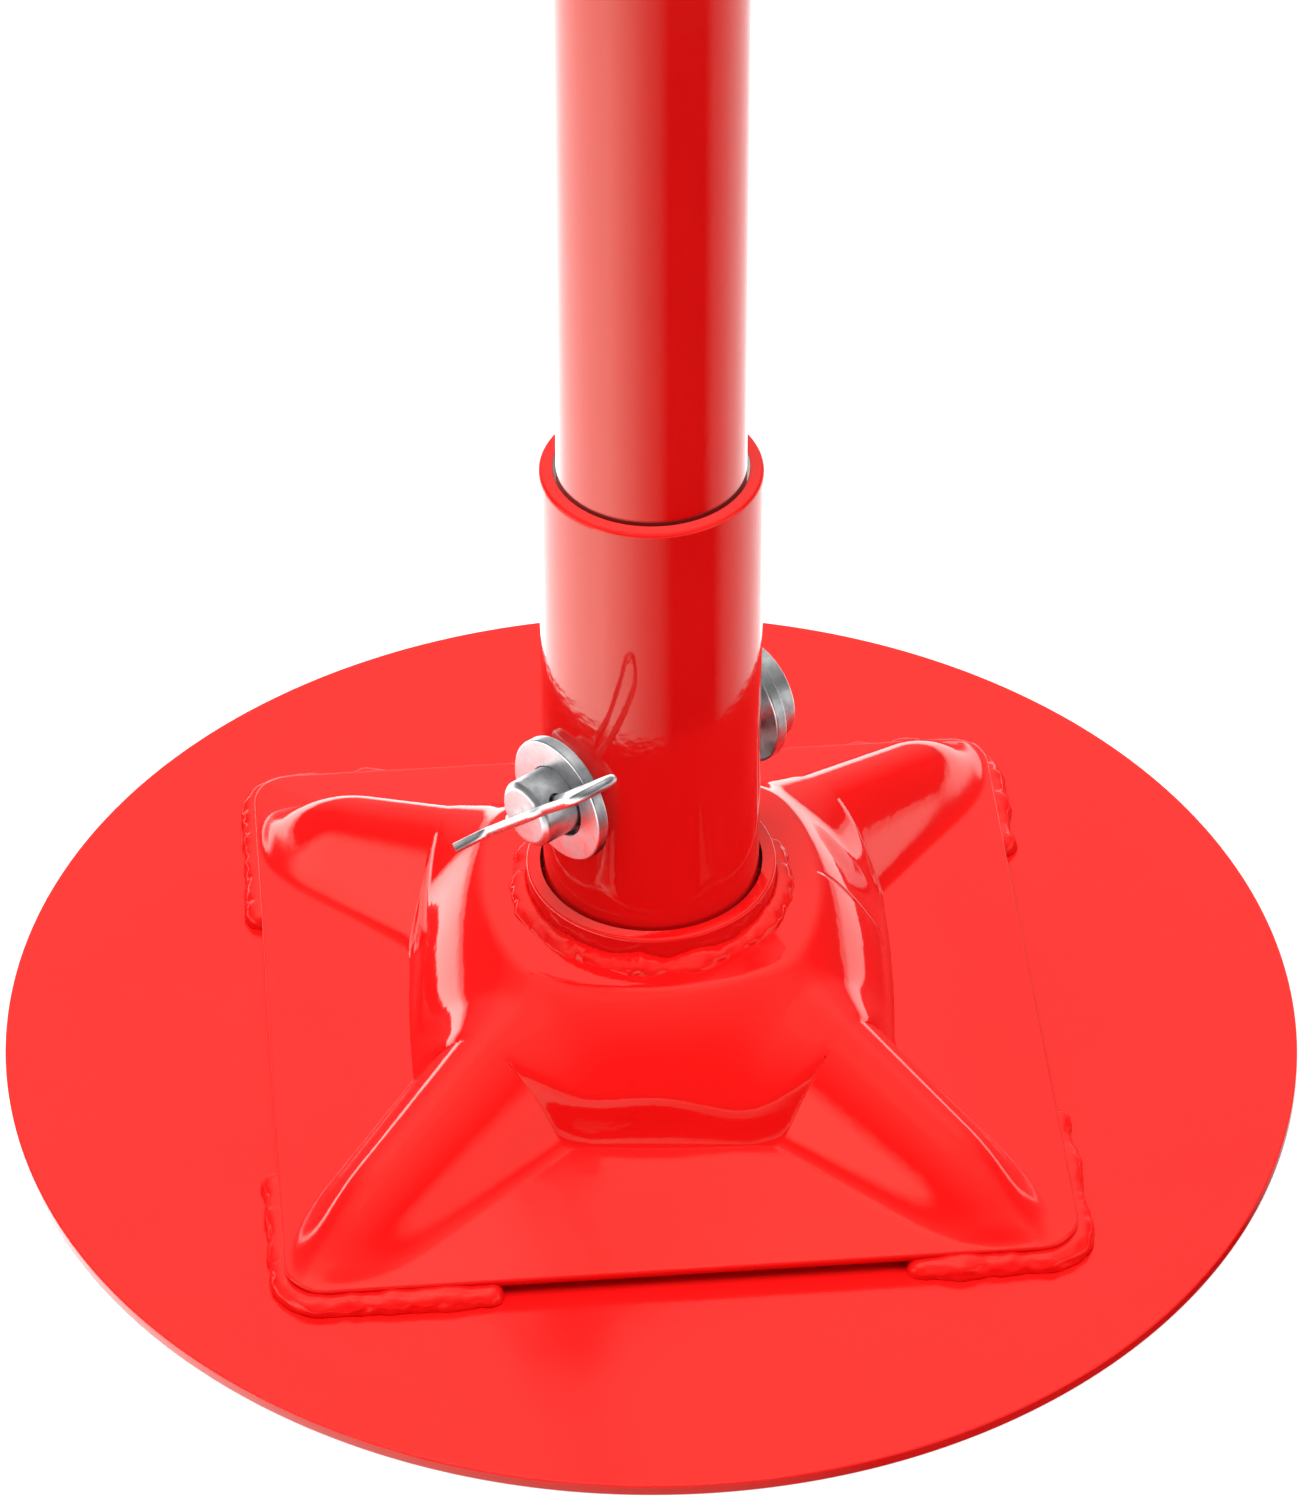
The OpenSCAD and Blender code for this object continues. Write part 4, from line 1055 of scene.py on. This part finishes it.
grub = turned_mm([(0, 7.7), (2.2, 7.7), (3, 8.8), (3, GRUB_TOP), (0, GRUB_TOP)], closed=False, steps=64)
drill(grub, 1.5 * MM, 5 * MM, moved(0, 0, GRUB_TOP * MM), steps=6)
even_shading(grub)
grub.matrix_world = CUP_SIDE
hand_over(grub, "grub_screw", "saddle", "bright_steel", "saddle_set_screw")

# %% [markdown]
# ## The inner pieces
# Races, balls, cage, guide bush and the weld at the socket's foot already have their true form in the
# CAD model. They keep it, and get the finishes of the pieces round them.

# %% The CAD pieces that stay
KEPT_NODES = {"lower_race": "bright_steel", "upper_race": "bright_steel", "bearing_balls": "bright_steel",
              "ball_cage": "brass", "guide_bush": "brass", "guide_washer": "zinc_plate",
              "guide_bolt": "zinc_plate", "socket_foot_weld": "enamel_red"}
for name, finish in KEPT_NODES.items():
    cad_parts[name].data.materials.clear()
    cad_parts[name].data.materials.append(FINISHES[finish])
print("finished:", ", ".join(KEPT_NODES))

# %% [markdown]
# ## The studio
# The camera sees a white floor in a white room. Mirror rays see a room of their own, because gloss
# that mirrors white all round looks pale: it is bright on the left and behind and dark in front, as the
# photograph's paint shows it. All other rays see a dim room, which keeps the soft shadow.

# %% Rays and directions
def ray_kinds(finish, *kinds):
    """A mask for each kind of ray: 1 for its own rays and 0 for all others."""
    path = finish.tree.nodes.new("ShaderNodeLightPath")
    return [Signal(finish, path.outputs[f"Is {kind} Ray"]) for kind in kinds]


def facing(finish, direction, towards):
    """How well a direction agrees with another: 1 the same, -1 opposite."""
    return vector_maths(finish, "DOT_PRODUCT", direction, towards, output="Value")


def emission(finish, strength):
    return finish.node("ShaderNodeEmission", {}, {"Color": (1, 1, 1, 1), "Strength": strength})


# %% [markdown]
# ## The floor
# For the camera the floor is matt, so that it carries the shadow, and it glows, less so close to the stand.
# What the paint mirrors of it is the shine, which is painted light and shade. Close by, it is a painted
# pool of light on the left and a painted shadow of the stand on the right front. Far out it is weaker and
# more even.

# %% Floor
FLOOR_SIZE, FLOOR_MATT = 80, (0.5, 0.5, 0.5, 1)
TO_LEFT, TO_RIGHT_FRONT = (-0.94, 0.34, 0), (0.66, -0.75, 0)
GLOW_LEAST, GLOW_RUN = 0.6, 10
FAR_LEAST, FAR_LEFT, NEAR_LEFT = 0.3, 1.1, 3.3

nothing_selected()
bpy.ops.mesh.primitive_plane_add(size=FLOOR_SIZE, location=(0, 0, 0))
floor = bpy.context.object
floor.name = "floor"
floor_paper, paper, spot = new_finish("floor paper")
seen, mirrored, through = ray_kinds(paper, "Camera", "Glossy", "Transmission")
way = vector_maths(paper, "NORMALIZE", spot)
far = vector_maths(paper, "LENGTH", spot, output="Value")

# Painted pool of light: the floor's shine is strongest to the left of the stand.
leftwards = ramp(paper, 0.5 + 0.5 * facing(paper, way, TO_LEFT), (0.3, 0.55), (0.75, 1.0))
# Painted shadow of the stand, falling to the right front, seen only in reflections.
shade = ramp(paper, facing(paper, way, TO_RIGHT_FRONT), (0.0, 0.0), (0.45, 0.25), (0.83, 0.70), (0.93, 1.0))
near = ramp(paper, far, (0.45, 1.0), (0.9, 0.0))
distant = FAR_LEAST + FAR_LEFT * leftwards
shine = distant + near * (NEAR_LEFT * leftwards * (1.0 - shade) - distant)

glow = GLOW_LEAST + (1 - GLOW_LEAST) * ramp(paper, (1 / GLOW_RUN) * far, (0.05, 0.0), (0.25, 1.0))
matt = paper.node("ShaderNodeBsdfDiffuse", {}, {"Color": FLOOR_MATT})
lit = paper.node("ShaderNodeAddShader", {}, {0: matt, 1: emission(paper, glow * (seen + through))})
both = paper.node("ShaderNodeMixShader", {}, {0: mirrored, 1: lit, 2: emission(paper, shine)})
paper.node("ShaderNodeOutputMaterial", {}, {"Surface": both})
floor.data.materials.append(floor_paper)
print("floor:", FLOOR_SIZE, "m wide")

# %% [markdown]
# ## The room
# The mirror room is dark. Its ceiling, its wall high up behind and its two low windows, left and right
# of the front, are each a ramp of the angle between the ray and one direction.

# %% Room
MIRROR_DARK, CEILING, BACK_WALL, LEFT_WINDOW, RIGHT_WINDOW = 0.08, 0.40, 0.48, 1.25, 0.8
DIM_ROOM = 0.22
UP, TO_BACK = (0, 0, 1), (0, 0.77, 0.64)
TO_LEFT_WINDOW, TO_RIGHT_WINDOW = (-0.93, -0.37, 0), (0.89, -0.45, 0)

room = bpy.data.worlds.new("white room")
bpy.context.scene.world = room
room.use_nodes = True
air = Finish(room.node_tree)
seen, mirrored = ray_kinds(air, "Camera", "Glossy")
gaze = air.node("ShaderNodeTexCoord", output="Generated")
overhead = ramp(air, facing(air, gaze, UP), (0.40, 0.0), (0.85, 1.0))
behind = ramp(air, facing(air, gaze, TO_BACK), (0.60, 0.0), (0.92, 1.0))
low = ramp(air, 0.5 + 0.5 * facing(air, gaze, UP), (0.62, 1.0), (0.68, 0.0))
left_window = low * ramp(air, facing(air, gaze, TO_LEFT_WINDOW), (0.82, 0.0), (0.88, 1.0))
right_window = low * ramp(air, facing(air, gaze, TO_RIGHT_WINDOW), (0.80, 0.0), (0.92, 1.0))
mirror_room = (MIRROR_DARK + CEILING * overhead + BACK_WALL * behind
               + LEFT_WINDOW * left_window + RIGHT_WINDOW * right_window)
strength = seen + mirrored * mirror_room + (1.0 - seen) * (1.0 - mirrored) * DIM_ROOM
sky = air.node("ShaderNodeBackground", {}, {"Color": (1, 1, 1, 1), "Strength": strength})
air.node("ShaderNodeOutputWorld", {}, {"Surface": sky})
print("room:", room.name)

# %% Lamps
AIM = Vector((0, 0, 50 * MM))


def softbox(name, place, width, height, power):
    """A large flat lamp that faces the base. It lights the paint, but doesn't show in its reflections."""
    lamp = bpy.data.lights.new(name, "AREA")
    lamp.shape = "RECTANGLE"
    lamp.size, lamp.size_y = width, height
    lamp.energy = power
    piece = bpy.data.objects.new(name, lamp)
    piece.location = place
    piece.rotation_euler = (AIM - Vector(place)).to_track_quat("-Z", "Y").to_euler()
    piece.visible_glossy = False
    bpy.context.scene.collection.objects.link(piece)
    print(f"{name}: {power} W")


softbox("top box", (-0.3, -0.2, 2.4), 2.0, 2.0, 95)
softbox("left box", (-1.8, -0.4, 1.4), 1.4, 1.6, 11)
softbox("right box", (1.8, -0.6, 1.4), 1.2, 1.6, 16)
